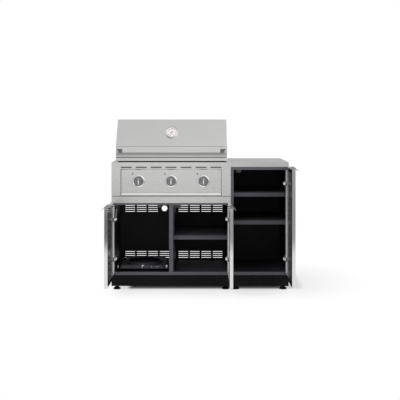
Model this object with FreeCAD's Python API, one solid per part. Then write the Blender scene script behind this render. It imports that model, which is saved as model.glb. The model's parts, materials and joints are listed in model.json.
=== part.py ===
import FreeCAD, Part
import math
import os

V = FreeCAD.Vector

# Outdoor kitchen island: a grill cabinet with a drop-in gas grill beside a narrower storage cabinet.
# Millimetres. X runs across the front, +Y towards the back, +Z up, the floor is Z = 0.
# Depths named d are measured backwards from the cabinets' front plane, so d < 0 is in front of it.

# Cabinet sizes
grill_cabinet_width = 838.0
side_cabinet_width = 406.0
cabinet_depth = 600.0
counter_height = 896.0
floor_gap = 27.0
toe_kick_height = 77.0
floor_rail_height = 22.0
sheet = 1.5
stile_width = 20.0
stile_return = 60.0

# Grill cabinet front
control_panel_height = 234.5
top_rail_height = 14.0
apron_height = 45.5
panel_seam = 3.5
divider_width = 29.0
front_return = 45.0
return_gap = 1.0

# Storage cabinet front
counter_band = 32.0
counter_overhang = 2.0
side_rail_height = 21.0
rail_flange = 40.0

# Shelves
shelf_set_back = 62.0
shelf_lip = 28.0
grill_shelf_top = 372.0
lower_shelf_top = 479.0
upper_shelf_top = 677.0
shelf_pin_radius = 3.0
shelf_pin_length = 12.0
shelf_pin_inset = 60.0

# Louvre slots and gas line hole
slot_length = 75.0
slot_height = 4.0
slot_pitch_x = 89.0
slot_pitch_z = 15.6
slot_rows = 4
slot_columns = 4
back_slots_low = 123.5
back_slots_high_drop = 414.0
side_slot_columns = 2
side_slot_depth = 150.0
gas_hole_radius = 22.0
gas_hole_drop = 390.0

# Levelling feet
foot_radius = 25.0
foot_thickness = 8.0
foot_stem_radius = 5.0
foot_inset = 36.0
foot_socket_radius = 13.0
foot_socket_height = 26.0
foot_stem_top_gap = 12.0
foot_hub_radius = 10.0
foot_hub_height = 12.0
foot_round = 2.0
foot_flange = 66.0

# Doors
door_thickness = 22.0
door_gap = 2.5
door_reveal = 1.0
door_meeting_gap = 2.0
door_bottom = 100.0
door_overlap_top = 7.0
side_door_free_gap = 3.0
door_skin = 1.0
door_return = 24.0
liner_recess = 8.0
liner_sheet = 1.0
pivot_from_face = 7.0
pivot_from_edge = 7.0
door_open_angle = 90.0
strike_size = 34.0
strike_height = 11.0
strike_clearance = 0.5

# Edge pulls on the doors
pull_length = 200.0
pull_end_gap = 5.0
pull_sheet = 3.0
pull_rise = 11.0
pull_reach = 20.0
pull_foot = 20.0
pull_web = 2.5

# Concealed hinges
hinge_bottom_inset = 118.0
hinge_top_inset = 121.0
side_hinge_top_inset = 124.0
hinge_pin_radius = 2.0
running_gap = 0.08
knuckle_radius = 4.5
arm_half_height = 7.0
arm_half_web = 2.0
arm_offset = 17.5
arm_plate = 4.0
ear_gap = 1.0
ear_thickness = 2.0
hinge_plate_start = 6.0
hinge_plate_length = 48.0
hinge_plate_half_height = 20.0
cup_length = 34.5
cup_wall = 1.5
cup_flange_length = 20.0
cup_flange_thickness = 1.2
notch_fit = 0.2
notch_margin = 2.0

# Magnetic catches
catch_width = 45.0
left_catch_width = 24.0
left_catch_from_divider = 57.0
catch_height = 18.0
catch_depth = 27.0
side_catch_width = 33.0
side_catch_offset = 39.0
catch_from_divider = 7.0

# Propane tank tray
tray_rail_width = 18.0
tray_rail_top = 140.0
tray_left_margin = 27.0
tray_right_margin = 15.0
tray_front = 111.0
tray_back_gap = 118.0
tray_plate = 2.0
tray_floor_clearance = 2.0
tray_slide_gap = 0.3
tray_side_gap = 4.0
tray_lip = 20.0
tray_lip_inset = 30.0
tray_back_skirt = 18.0
tank_hole_radius = 118.0
tank_ring_wall = 2.0
tank_ring_back_gap = 28.0

# Grill body
deck_thickness = 2.5
firebox_side_margin = 56.0
firebox_front = 72.0
firebox_back_margin = 55.0
firebox_height = 196.0
firebox_flange = 12.0
firebox_fit = 0.5
grate_ledge_drop = 34.0
grate_ledge_width = 14.0
drain_width = 520.0
drain_depth = 260.0

# Control panel
recess_width = 709.0
recess_depth = 12.0
recess_top_drop = 44.0
recess_bottom_rise = 23.3
panel_lower_strip = 2.0
panel_flange = 30.0
vent_count = 7
vent_pitch = 105.0
vent_length = 76.0
vent_height = 10.0
vent_drop = 36.5

# Knobs and gas train
knob_count = 3
knob_pitch = 228.0
knob_drop = 132.5
bezel_radius = 42.0
bezel_inner_radius = 33.0
bezel_thickness = 8.0
bezel_chamfer = 2.5
knob_radius = 31.5
knob_depth = 18.0
knob_chamfer = 3.6
knob_back_gap = 6.0
grip_width = 12.0
grip_length = 46.0
grip_depth = 14.0
grip_round = 3.0
stem_radius = 4.0
stem_hole_radius = 9.0
stem_length = 42.0
stem_in_knob = 14.0
knob_travel = 4.0
stem_end_gap = 2.0
valve_size = 26.0
valve_front = 20.0
manifold_radius = 9.0
manifold_clearance = 6.0
manifold_length = 600.0
manifold_mount_inset = 40.0
manifold_mount_width = 20.0
manifold_mount_height = 36.0

# Burners, flame tamers and grates
burner_radius = 12.5
burner_drop = 161.0
burner_front = 58.0
burner_fit = 0.5
burner_wall = 1.5
tamer_width = 120.0
tamer_rise = 34.0
tamer_apex_drop = 66.0
tamer_sheet = 1.5
grate_bar = 8.0
grate_bar_pitch = 19.0
grate_section_gap = 3.0
end_gap = 0.3

# Drip tray
drip_tray_height = 18.0
drip_tray_sheet = 1.2
drip_tray_start = 12.5
drip_tray_back_gap = 47.0
drip_side_gap = 3.0
drip_rail_start = 18.0
drip_rail_flange = 15.0
drip_lip_reach = 8.5

# Hood
hood_margin = 24.0
hood_front = 67.0
hood_lift = 5.0
hood_lip_front = 59.0
hood_fold_depth = 2.5
hood_ridge_height = 34.0
hood_crease_height = 112.0
hood_slope_back = 214.0
hood_height = 301.0
hood_back_margin = 38.0
hood_top_round = 62.0
hood_pivot_radius = 37.0
hood_roll_angle = 60.0
hood_sheet = 1.5
hood_end_sheet = 2.0
liner_offset = 18.0
hood_liner_sheet = 1.0
hood_liner_lift = 30.0
hood_pin_radius = 6.0
hood_pin_length = 14.0
bracket_gap = 1.5
bracket_sheet = 4.0
bracket_half_width = 20.0
bracket_foot_width = 19.5
bracket_foot_thickness = 2.0

# Hood handle
handle_length = 772.0
handle_height = 42.0
handle_depth = 20.0
handle_reach = 45.0
handle_z_above_deck = 86.0
handle_strip_height = 14.0
handle_bracket_width = 40.0
handle_bracket_foot = 23.0
handle_bracket_rise = 8.0
handle_bracket_set_back = 1.0
handle_key_height = 6.0
handle_key_gap = 0.3
handle_edge_round = 8.0
handle_wall = 2.0

# Thermometer
gauge_z_above_deck = 204.0
gauge_radius = 45.0
gauge_depth = 12.0
gauge_rim = 5.0
gauge_well = 6.0
gauge_stem_radius = 4.0
gauge_stem_length = 60.0
gauge_hole_radius = 5.0
gauge_hole_depth = 36.0
gauge_pin_radius = 1.0
gauge_pin_set_back = 1.0
needle_length = 31.0
needle_tail = 10.0
needle_hub_radius = 3.0
needle_thickness = 1.0
needle_lift = 1.5

# How far a cutting tool runs past the faces it cuts, and how near counts as the same place
overcut = 1.0
same_place = 0.01

# Places that follow from the sizes above
left_x = -(grill_cabinet_width + side_cabinet_width) / 2
join_x = left_x + grill_cabinet_width
right_x = join_x + side_cabinet_width
grill_mid_x = (left_x + join_x) / 2
divider_left = grill_mid_x - divider_width / 2
divider_right = grill_mid_x + divider_width / 2
grill_door_width = grill_cabinet_width / 2 - door_reveal - door_meeting_gap
side_door_width = side_cabinet_width - door_reveal - side_door_free_gap
pivot_depth = -(door_gap + door_thickness - pivot_from_face)
door_reach = grill_door_width - pivot_from_edge - pivot_depth
front_y = (door_reach - cabinet_depth) / 2
floor_z = floor_gap + toe_kick_height
deck_bottom = counter_height - deck_thickness
panel_bottom = deck_bottom - control_panel_height
apron_top = panel_bottom - panel_seam
apron_bottom = apron_top - apron_height
opening_top = apron_bottom - top_rail_height
grill_door_top = apron_bottom + door_overlap_top
side_top = counter_height - counter_band
side_door_top = side_top + door_overlap_top
hinge_low_z = door_bottom + hinge_bottom_inset
hinge_high_z = grill_door_top - hinge_top_inset
side_hinge_high_z = side_door_top - side_hinge_top_inset
back_slots_high = counter_height - back_slots_high_drop
gas_hole_z = counter_height - gas_hole_drop
back_face = cabinet_depth - sheet
firebox_left = left_x + firebox_side_margin
firebox_right = join_x - firebox_side_margin
firebox_bottom = counter_height - firebox_height
firebox_back = cabinet_depth - firebox_back_margin
drip_tray_depth = firebox_back - drip_tray_back_gap - drip_tray_start
recess_left = grill_mid_x - recess_width / 2
recess_right = grill_mid_x + recess_width / 2
knob_z = counter_height - knob_drop
burner_z = counter_height - burner_drop
hood_left = left_x + hood_margin
hood_right = join_x - hood_margin
hood_bottom = counter_height + hood_lift
hood_back = cabinet_depth - hood_back_margin
pivot_y = hood_back - hood_pivot_radius
pivot_z = hood_bottom + hood_pivot_radius
hood_crease_z = counter_height + hood_crease_height
hood_top = counter_height + hood_height
tray_left = left_x + tray_left_margin
tray_right = divider_left - tray_right_margin
tray_z = floor_z + floor_rail_height + tray_floor_clearance
tray_depth = cabinet_depth - tray_back_gap - tray_front
knob_xs = [grill_mid_x + knob_pitch * (i - (knob_count - 1) / 2) for i in range(knob_count)]


def row_y(d):
    """Y of a point that lies d behind the front plane."""
    return front_y + d


def span(a, b):
    """A range given in either order, low end first."""
    return (min(a, b), max(a, b))


def block(x, d, z):
    """A box from three (low, high) ranges, the second one measured behind the front plane."""
    size = (x[1] - x[0], d[1] - d[0], z[1] - z[0])
    return Part.makeBox(*size, V(x[0], row_y(d[0]), z[0]))


def fuse(shapes):
    """One solid from shapes that touch or overlap."""
    return shapes[0].fuse(shapes[1:]).removeSplitter()


def cut(shape, tools):
    """The shape with all the tools taken out of it."""
    return shape.cut(tools).removeSplitter() if tools else shape


def past(low, high):
    """A cutting tool's range: runs past both faces."""
    return (low - overcut, high + overcut)


def edges_at_depth(shape, d):
    """Edges that lie in the plane at depth d."""
    y = row_y(d)
    boxes = [(e, e.BoundBox) for e in shape.Edges]
    return [e for e, b in boxes if b.YLength < same_place and abs(b.YMin - y) < same_place]


def edges_at_height(shape, z):
    """Edges that lie in the level plane at height z."""
    boxes = [(e, e.BoundBox) for e in shape.Edges]
    return [e for e, b in boxes if b.ZLength < same_place and abs(b.ZMin - z) < same_place]


def export(name, shape):
    """Write one piece, or a group of separate pieces, as a STEP file."""
    solids = shape if isinstance(shape, list) else [shape]
    Part.makeCompound(solids).exportStep("parts/" + name + ".step")


def rod_x(x, d, z, radius, length):
    return Part.makeCylinder(radius, length, V(x, row_y(d), z), V(1, 0, 0))


def rod_y(x, d, z, radius, length):
    return Part.makeCylinder(radius, length, V(x, row_y(d), z), V(0, 1, 0))


def rod_z(x, d, z, radius, length):
    return Part.makeCylinder(radius, length, V(x, row_y(d), z), V(0, 0, 1))


def prism_x(points, x):
    """A solid with the outline points, as (d, z) pairs, running along X."""
    corners = [V(x[0], row_y(d), z) for d, z in points]
    face = Part.Face(Part.makePolygon(corners + corners[:1]))
    return face.extrude(V(x[1] - x[0], 0, 0))


def slot(centre_x, centre_z, d):
    """A round-ended louvre slot through a panel that faces the front."""
    r = slot_height / 2
    half = slot_length / 2 - r
    middle = block((centre_x - half, centre_x + half), d, (centre_z - r, centre_z + r))
    ends = [rod_y(centre_x + s * half, d[0], centre_z, r, d[1] - d[0]) for s in (-1, 1)]
    return fuse([middle] + ends)


def side_slot(x, centre_d, centre_z):
    """A round-ended louvre slot through a side panel."""
    r = slot_height / 2
    half = slot_length / 2 - r
    middle = block(x, (centre_d - half, centre_d + half), (centre_z - r, centre_z + r))
    ends = [rod_x(x[0], centre_d + s * half, centre_z, r, x[1] - x[0]) for s in (-1, 1)]
    return fuse([middle] + ends)


def slot_field(centre_x, low_z, skip=None):
    """The slots of one louvre field, in rows and columns about a centre line."""
    slots = []
    for column in range(slot_columns):
        if column == skip:
            continue
        x = centre_x + slot_pitch_x * (column - (slot_columns - 1) / 2)
        for row in range(slot_rows):
            slots.append(slot(x, low_z + slot_pitch_z * row, past(back_face, cabinet_depth)))
    return slots


def side_panel(outer_x, inward, top):
    """A folded side: skin, front stile and the return lip that carries the hinges."""
    skin = block(span(outer_x, outer_x + inward * sheet), (0, back_face), (floor_z, top))
    stile = block(span(outer_x, outer_x + inward * stile_width), (0, sheet), (floor_z, top))
    lip_x = span(outer_x + inward * (stile_width - sheet), outer_x + inward * stile_width)
    lip = block(lip_x, (0, stile_return), (floor_z, top))
    return fuse([skin, stile, lip])


def grill_side(outer_x, inward, louvred):
    """A side of the grill cabinet, which rises behind the apron and the control panel."""
    lower = side_panel(outer_x, inward, apron_bottom)
    skin_x = span(outer_x, outer_x + inward * sheet)
    upper = block(skin_x, (front_return + return_gap, back_face), (apron_bottom, deck_bottom))
    side = fuse([lower, upper])
    if not louvred:
        return side
    slots = []
    for column in range(side_slot_columns):
        for row in range(slot_rows):
            depth = side_slot_depth + slot_pitch_x * column + slot_length
            z = back_slots_high + slot_pitch_z * row
            slots.append(side_slot(past(*skin_x), depth, z))
    return cut(side, slots)


def grill_back():
    """Back panel with four louvre fields and the gas line hole."""
    panel = block((left_x, join_x), (back_face, cabinet_depth), (floor_z, deck_bottom))
    left_bay = (left_x + stile_width + divider_left) / 2
    right_bay = (join_x - stile_width + divider_right) / 2
    tools = slot_field(left_bay, back_slots_low)
    tools += slot_field(left_bay, back_slots_high, skip=slot_columns - 1)
    tools += slot_field(right_bay, back_slots_low)
    tools += slot_field(right_bay, back_slots_high)
    gas_hole_x = left_bay + slot_pitch_x * (slot_columns - 1) / 2
    tools.append(rod_y(gas_hole_x, back_face - overcut, gas_hole_z, gas_hole_radius, sheet + 2 * overcut))
    return cut(panel, tools)


def cabinet_floor(x0, x1):
    """Floor plate with the raised front rail between the stiles."""
    plate = block((x0 + sheet, x1 - sheet), (stile_return, back_face), (floor_z, floor_z + sheet))
    rail_x = (x0 + stile_width, x1 - stile_width)
    front = block(rail_x, (0, stile_return), (floor_z, floor_z + sheet))
    rail = block(rail_x, (0, sheet), (floor_z, floor_z + floor_rail_height))
    return fuse([plate, front, rail])


def grill_divider():
    """Upright that parts the tank bay from the shelf bay: a folded front and two skins."""
    bottom = floor_z + sheet
    face = block((divider_left, divider_right), (sheet, 2 * sheet), (bottom, opening_top))
    skins = [
        block((divider_left, divider_left + sheet), (sheet, back_face), (bottom, opening_top)),
        block((divider_right - sheet, divider_right), (sheet, back_face), (bottom, opening_top)),
    ]
    return fuse([face] + skins)


def top_rails(x0, x1, low, high):
    """Front and rear rails under a cabinet's top, each an angle."""
    rail_x = (x0 + stile_width, x1 - stile_width)
    front = fuse([
        block(rail_x, (0, sheet), (low, high)),
        block(rail_x, (0, rail_flange), (low, low + sheet)),
    ])
    rear_x = (x0 + sheet, x1 - sheet)
    rear = fuse([
        block(rear_x, (back_face - sheet, back_face), (low, high)),
        block(rear_x, (back_face - rail_flange, back_face), (high - sheet, high)),
    ])
    return [front, rear]


def apron():
    """Stainless channel across the front, below the control panel."""
    x = (left_x, join_x)
    return fuse([
        block(x, (0, sheet), (apron_bottom, apron_top)),
        block(x, (0, front_return), (apron_top - sheet, apron_top)),
        block(x, (0, front_return), (apron_bottom, apron_bottom + sheet)),
        block((left_x, left_x + sheet), (0, front_return), (apron_bottom, apron_top)),
        block((join_x - sheet, join_x), (0, front_return), (apron_bottom, apron_top)),
    ])


def shelf(x0, x1, top):
    """Shelf plate with folded front and rear lips."""
    back = back_face - end_gap
    return fuse([
        block((x0, x1), (shelf_set_back, back), (top - sheet, top)),
        block((x0, x1), (shelf_set_back, shelf_set_back + sheet), (top - shelf_lip, top)),
        block((x0, x1), (back - sheet, back), (top - shelf_lip, top)),
    ])


def shelf_pins(x0, x1, top):
    """Four pins in the walls that a shelf rests on."""
    z = top - sheet - shelf_pin_radius - end_gap
    pins = []
    for d in (shelf_set_back + shelf_pin_inset, back_face - shelf_pin_inset):
        pins.append(rod_x(x0, d, z, shelf_pin_radius, shelf_pin_length))
        pins.append(rod_x(x1 - shelf_pin_length, d, z, shelf_pin_radius, shelf_pin_length))
    return pins


def countertop():
    """Stainless pan that closes the storage cabinet."""
    x = (join_x, right_x + counter_overhang)
    outer = block(x, (0, cabinet_depth), (side_top, counter_height))
    inner_x = (x[0] + sheet, x[1] - sheet)
    inner = block(inner_x, (sheet, back_face), (side_top - overcut, counter_height - sheet))
    seat = block((right_x - sheet, right_x), (0, cabinet_depth), (side_top - overcut, side_top))
    return cut(outer, [inner, seat])


def foot_places():
    """Centres (x, d) of the feet, four under each cabinet."""
    places = []
    for x0, x1 in ((left_x, join_x), (join_x, right_x)):
        for x in (x0 + foot_inset, x1 - foot_inset):
            for d in (foot_inset + sheet, cabinet_depth - foot_inset - sheet):
                places.append((x, d))
    return places


def plinth_rail(x, wall_d, flange_d):
    """Front or rear wall of a plinth with its bottom flange and threaded foot sockets."""
    pieces = [
        block(x, wall_d, (floor_gap, floor_z)),
        block((x[0] + sheet, x[1] - sheet), flange_d, (floor_gap, floor_gap + sheet)),
    ]
    bores = []
    bore_height = foot_socket_height + 2 * overcut
    for foot_x, foot_d in foot_places():
        if x[0] < foot_x < x[1] and flange_d[0] < foot_d < flange_d[1]:
            pieces.append(rod_z(foot_x, foot_d, floor_gap, foot_socket_radius, foot_socket_height))
            bores.append(rod_z(foot_x, foot_d, floor_gap - overcut,
                               foot_stem_radius + running_gap, bore_height))
    return cut(fuse(pieces), bores)


def toe_kick(x0, x1):
    """Plinth of one cabinet: front and rear rails and two side walls between them."""
    side_d = (sheet, back_face)
    side_z = (floor_gap, floor_z)
    return [
        plinth_rail((x0, x1), (0, sheet), (0, foot_flange)),
        plinth_rail((x0, x1), (back_face, cabinet_depth), (cabinet_depth - foot_flange, cabinet_depth)),
        block((x0, x0 + sheet), side_d, side_z),
        block((x1 - sheet, x1), side_d, side_z),
    ]


def levelling_foot(x, d):
    """Disc foot with a hub and a stem that runs up through its socket."""
    stem_top = floor_gap + foot_socket_height + foot_stem_top_gap
    disc = rod_z(x, d, 0, foot_radius, foot_thickness)
    disc = disc.makeFillet(foot_round, edges_at_height(disc, foot_thickness))
    hub = rod_z(x, d, 0, foot_hub_radius, foot_hub_height)
    stem = rod_z(x, d, 0, foot_stem_radius, stem_top)
    return fuse([disc, hub, stem])


class Door:
    """A door as it hangs: u runs from its hinge edge, v inwards from its outer face.

    side is +1 when the hinge edge is on the left and -1 when it is on the right.
    """

    def __init__(self, hinge_edge, side, width, top, rail_height, hinge_zs, catch_x):
        self.hinge_edge = hinge_edge
        self.side = side
        self.width = width
        self.bottom = door_bottom
        self.top = top
        self.rail_height = rail_height
        self.hinge_zs = hinge_zs
        self.catch_x = catch_x
        self.pivot_x = hinge_edge + side * pivot_from_edge

    def x(self, u):
        return self.hinge_edge + self.side * u

    def d(self, v):
        return v - door_gap - door_thickness

    def part(self, u, v, z):
        """A box in the closed door's own directions."""
        return block(span(self.x(u[0]), self.x(u[1])), (self.d(v[0]), self.d(v[1])), z)

    def hang(self, shape):
        """Swing a closed-door shape to the open rest pose."""
        pivot = V(self.pivot_x, row_y(pivot_depth), 0)
        return shape.rotate(pivot, V(0, 0, 1), -self.side * door_open_angle)

    def notches(self):
        """Clearance in the return flange and liner for the hinge arms."""
        half = arm_half_height + ear_gap + ear_thickness + notch_margin
        tools = []
        for z in self.hinge_zs:
            u = (door_skin, cup_length + notch_fit)
            tools.append(self.part(u, (pivot_from_face, door_thickness + overcut), (z - half, z + half)))
        return tools

    def pan(self):
        """Stainless outer pan with folded edges and a return flange that turns in to the liner."""
        z = (self.bottom, self.top)
        outer = self.part((0, self.width), (0, door_thickness), z)
        inside_u = (door_skin, self.width - door_skin)
        inside_z = (self.bottom + door_skin, self.top - door_skin)
        inside = self.part(inside_u, (door_skin, door_thickness - door_skin), inside_z)
        window_u = (door_return, self.width - door_return)
        window_z = (self.bottom + door_return, self.top - door_return)
        window = self.part(window_u, (door_skin, door_thickness + overcut), window_z)
        shell = cut(outer, [inside, window])
        hem_u = (window_u[0] - door_skin, window_u[1] + door_skin)
        hem_z = (window_z[0] - door_skin, window_z[1] + door_skin)
        hem = self.part(hem_u, (door_thickness - liner_recess, door_thickness), hem_z)
        hem = cut(hem, [window])
        return self.hang(cut(fuse([shell, hem]), self.notches()))

    def liner(self):
        """Recessed inner panel with a raised rim behind the return flange, and the strike plate."""
        face_v = door_thickness - liner_recess
        u = (door_skin + running_gap, self.width - door_skin - running_gap)
        z = (self.bottom + door_skin + running_gap, self.top - door_skin - running_gap)
        plate = self.part(u, (face_v - liner_sheet, face_v), z)
        rim_v = (face_v - liner_sheet, door_thickness - door_skin)
        rim = self.part(u, rim_v, z)
        middle_u = (u[0] + liner_sheet, u[1] - liner_sheet)
        middle_z = (z[0] + liner_sheet, z[1] - liner_sheet)
        rim = cut(rim, [self.part(middle_u, (0, door_thickness + overcut), middle_z)])
        strike_u = abs(self.catch_x - self.hinge_edge)
        strike_z = self.top - door_overlap_top - self.rail_height - catch_height / 2
        strike = self.part(
            (strike_u - strike_size / 2, strike_u + strike_size / 2),
            (face_v - liner_sheet, door_thickness - strike_clearance),
            (strike_z - strike_height / 2, strike_z + strike_height / 2),
        )
        return self.hang(cut(fuse([plate, rim, strike]), self.notches()))

    def pull(self):
        """Edge pull on the free end of the top edge: foot, web and a blade that slopes outwards."""
        slant = pull_sheet / math.sqrt(2)
        crest = (pull_web / 2, pull_rise)
        drop = crest[0] + pull_reach
        outline = [
            (pull_foot, 0),
            (pull_foot, pull_web),
            (crest[0] + slant, pull_web),
            (crest[0] + slant, crest[1] - slant),
            crest,
            (-pull_reach, crest[1] - drop),
            (-pull_reach + slant, crest[1] - drop - slant),
            (0, crest[1] - crest[0] - 2 * slant),
            (0, 0),
        ]
        points = [(self.d(v), self.top + z) for v, z in outline]
        ends = (self.width - pull_end_gap - pull_length, self.width - pull_end_gap)
        return self.hang(prism_x(points, span(self.x(ends[0]), self.x(ends[1]))))

    def hinge_cups(self):
        """The hinges' door side: two ears with the pin, an end wall and a screw flange."""
        ear_low = arm_half_height + ear_gap
        ear_high = ear_low + ear_thickness
        face_v = door_thickness - liner_recess
        cups = []
        for z in self.hinge_zs:
            ears = []
            for low, high in ((z - ear_high, z - ear_low), (z + ear_low, z + ear_high)):
                ears.append(self.part((pivot_from_edge - knuckle_radius, cup_length),
                                      (pivot_from_face - knuckle_radius, face_v), (low, high)))
            wall = self.part((cup_length - cup_wall, cup_length),
                             (pivot_from_face - knuckle_radius, face_v), (z - ear_high, z + ear_high))
            flange_u = (cup_length - cup_wall, cup_length + cup_flange_length)
            flange = self.part(flange_u, (face_v, face_v + cup_flange_thickness),
                               (z - 2 * ear_high, z + 2 * ear_high))
            pin = rod_z(self.pivot_x, pivot_depth, z - ear_high, hinge_pin_radius, 2 * ear_high)
            cups.append(self.hang(fuse(ears + [wall, flange, pin])))
        return cups

    def arm_part(self, reach, d, z):
        """A box whose first range is measured from the hinge axis into the cabinet."""
        x = (self.pivot_x + self.side * reach[0], self.pivot_x + self.side * reach[1])
        return block(span(*x), d, z)

    def hinge_arms(self):
        """The hinges' cabinet side: a plate on the stile's lip and a hooked arm to the pin."""
        lip = stile_width - door_reveal - pivot_from_edge
        arms = []
        for z in self.hinge_zs:
            height = (z - arm_half_height, z + arm_half_height)
            arm_x = (arm_offset, arm_offset + arm_plate)
            web_d = (pivot_depth - arm_half_web, pivot_depth + arm_half_web)
            plate_d = (hinge_plate_start, hinge_plate_start + hinge_plate_length)
            plate = self.arm_part((lip, arm_offset), plate_d,
                                  (z - hinge_plate_half_height, z + hinge_plate_half_height))
            arm = self.arm_part(arm_x, (web_d[0], plate_d[1] - arm_plate), height)
            hook = self.arm_part((0, arm_x[1]), web_d, height)
            knuckle = rod_z(self.pivot_x, pivot_depth, height[0], knuckle_radius, 2 * arm_half_height)
            bore = rod_z(self.pivot_x, pivot_depth, height[0] - overcut,
                         hinge_pin_radius + running_gap, 2 * (arm_half_height + overcut))
            arms.append(cut(fuse([plate, arm, hook, knuckle]), [bore]))
        return arms


def magnetic_catch(centre_x, width, top):
    """Catch block under a top rail, its face just behind the door's strike."""
    front = -door_gap + strike_clearance / 2
    x = (centre_x - width / 2, centre_x + width / 2)
    return block(x, (front, front + catch_depth), (top - catch_height, top))


def tank_rail(outer_x, inward):
    """Channel that guides one side of the tank tray, standing on the cabinet floor."""
    d = (tray_front, tray_front + tray_depth)
    low = floor_z + sheet
    inner_x = outer_x + inward * tray_rail_width
    full = span(outer_x, inner_x)
    guide_top = tray_z - tray_slide_gap
    return fuse([
        block(span(outer_x, outer_x + inward * sheet), d, (low, tray_rail_top)),
        block(full, d, (low, low + sheet)),
        block(full, d, (guide_top - sheet, guide_top)),
        block(full, d, (tray_rail_top - sheet, tray_rail_top)),
    ])


def tank_tray():
    """Sliding plate with a ringed hole for the tank's foot, a front lip and a back lip with a skirt."""
    side_gap = sheet + tray_side_gap
    d = (tray_front + sheet, tray_front + tray_depth)
    plate_top = tray_z + tray_plate
    plate = block((tray_left + side_gap, tray_right - side_gap), d, (tray_z, plate_top))
    lip_x = (tray_left + tray_lip_inset, tray_right - tray_lip_inset)
    lips = [
        block(lip_x, (d[0], d[0] + tray_plate), (tray_z, plate_top + tray_lip)),
        block(lip_x, (d[1] - tray_plate, d[1]), (tray_z - tray_back_skirt, plate_top + tray_lip)),
    ]
    centre = ((lip_x[0] + lip_x[1]) / 2, d[1] - tank_ring_back_gap - tank_hole_radius)
    ring = rod_z(centre[0], centre[1], tray_z, tank_hole_radius + tank_ring_wall, tray_plate + tray_lip)
    hole_height = tray_plate + tray_lip + 2 * overcut
    hole = rod_z(centre[0], centre[1], tray_z - overcut, tank_hole_radius, hole_height)
    return cut(fuse([plate, ring] + lips), [hole])


def deck():
    """Stainless deck plate round the firebox, reaching over both sides to the back."""
    plate = block((left_x, join_x), (0, cabinet_depth), (deck_bottom, counter_height))
    opening = block((firebox_left - firebox_fit, firebox_right + firebox_fit),
                    (firebox_front - firebox_fit, firebox_back + firebox_fit),
                    past(deck_bottom, counter_height))
    return cut(plate, [opening])


def firebox():
    """Box of flanged walls hung in the deck, with a drained bottom and two ledges for the grates."""
    x = (firebox_left, firebox_right)
    d = (firebox_front, firebox_back)
    inner_x = (x[0] + sheet, x[1] - sheet)
    inner_d = (d[0] + sheet, d[1] - sheet)
    rim_d = (d[0] - firebox_flange, d[1] + firebox_flange)
    rim_z = (counter_height, counter_height + sheet)
    wall_z = (firebox_bottom, rim_z[1])
    left = [block((x[0], inner_x[0]), d, wall_z), block((x[0] - firebox_flange, x[0]), rim_d, rim_z)]
    right = [block((inner_x[1], x[1]), d, wall_z), block((x[1], x[1] + firebox_flange), rim_d, rim_z)]
    front = [block(inner_x, (d[0], inner_d[0]), wall_z), block(x, (rim_d[0], d[0]), rim_z)]
    back = [block(inner_x, (inner_d[1], d[1]), wall_z), block(x, (d[1], rim_d[1]), rim_z)]
    hole_radius = burner_radius + burner_fit
    hole_length = sheet + 2 * overcut
    burner_holes = [rod_y(bx, d[0] - overcut, burner_z, hole_radius, hole_length) for bx in knob_xs]
    drain = block((grill_mid_x - drain_width / 2, grill_mid_x + drain_width / 2),
                  ((d[0] + d[1] - drain_depth) / 2, (d[0] + d[1] + drain_depth) / 2),
                  past(firebox_bottom, firebox_bottom + sheet))
    bottom = block(inner_x, inner_d, (firebox_bottom, firebox_bottom + sheet))
    ledge_top = counter_height - grate_ledge_drop
    ledge_z = (ledge_top - sheet, ledge_top)
    return [
        fuse(left),
        fuse(right),
        cut(fuse(front), burner_holes),
        fuse(back),
        cut(bottom, [drain]),
        block(inner_x, (inner_d[0], inner_d[0] + grate_ledge_width), ledge_z),
        block(inner_x, (inner_d[1] - grate_ledge_width, inner_d[1]), ledge_z),
    ]


def control_panel():
    """Front panel with side returns, a recessed middle, louvre slots and stem holes."""
    x = (left_x, join_x)
    z = (panel_bottom, deck_bottom)
    recess_x = (recess_left, recess_right)
    recess_top = deck_bottom - recess_top_drop
    front = block(x, (0, sheet), z)
    window = block(recess_x, past(0, sheet), (panel_bottom + panel_lower_strip, recess_top))
    vents = []
    for i in range(vent_count):
        vent_x = grill_mid_x + vent_pitch * (i - (vent_count - 1) / 2)
        vent_z = counter_height - vent_drop
        vents.append(block((vent_x - vent_length / 2, vent_x + vent_length / 2), past(0, sheet),
                           (vent_z - vent_height / 2, vent_z + vent_height / 2)))
    recess_low = panel_bottom + recess_bottom_rise
    floor_d = (recess_depth, recess_depth + sheet)
    outer_x = (recess_x[0] - sheet, recess_x[1] + sheet)
    outer_top = recess_top + sheet
    wall_d = (0, floor_d[1])
    recess_plate = block(outer_x, floor_d, (recess_low, outer_top))
    walls = [
        block((outer_x[0], recess_x[0]), wall_d, (panel_bottom, outer_top)),
        block((recess_x[1], outer_x[1]), wall_d, (panel_bottom, outer_top)),
        block(outer_x, wall_d, (recess_top, outer_top)),
    ]
    returns = [
        block((x[0], x[0] + sheet), (0, front_return), z),
        block((x[1] - sheet, x[1]), (0, front_return), z),
        block(x, (0, panel_flange), (z[1] - sheet, z[1])),
        block(x, (0, recess_depth), (z[0], z[0] + sheet)),
    ]
    hole_length = sheet + 2 * overcut
    stems = [rod_y(kx, floor_d[0] - overcut, knob_z, stem_hole_radius, hole_length) for kx in knob_xs]
    face = cut(front, [window] + vents)
    return fuse([face, cut(recess_plate, stems)] + walls + returns)


def knob_bezel(x):
    """Raised ring round a knob."""
    front = recess_depth - bezel_thickness
    ring = rod_y(x, front, knob_z, bezel_radius, bezel_thickness)
    ring = ring.makeChamfer(bezel_chamfer, edges_at_depth(ring, front))
    hole = rod_y(x, front - overcut, knob_z, bezel_inner_radius, bezel_thickness + 2 * overcut)
    return cut(ring, [hole])


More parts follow.
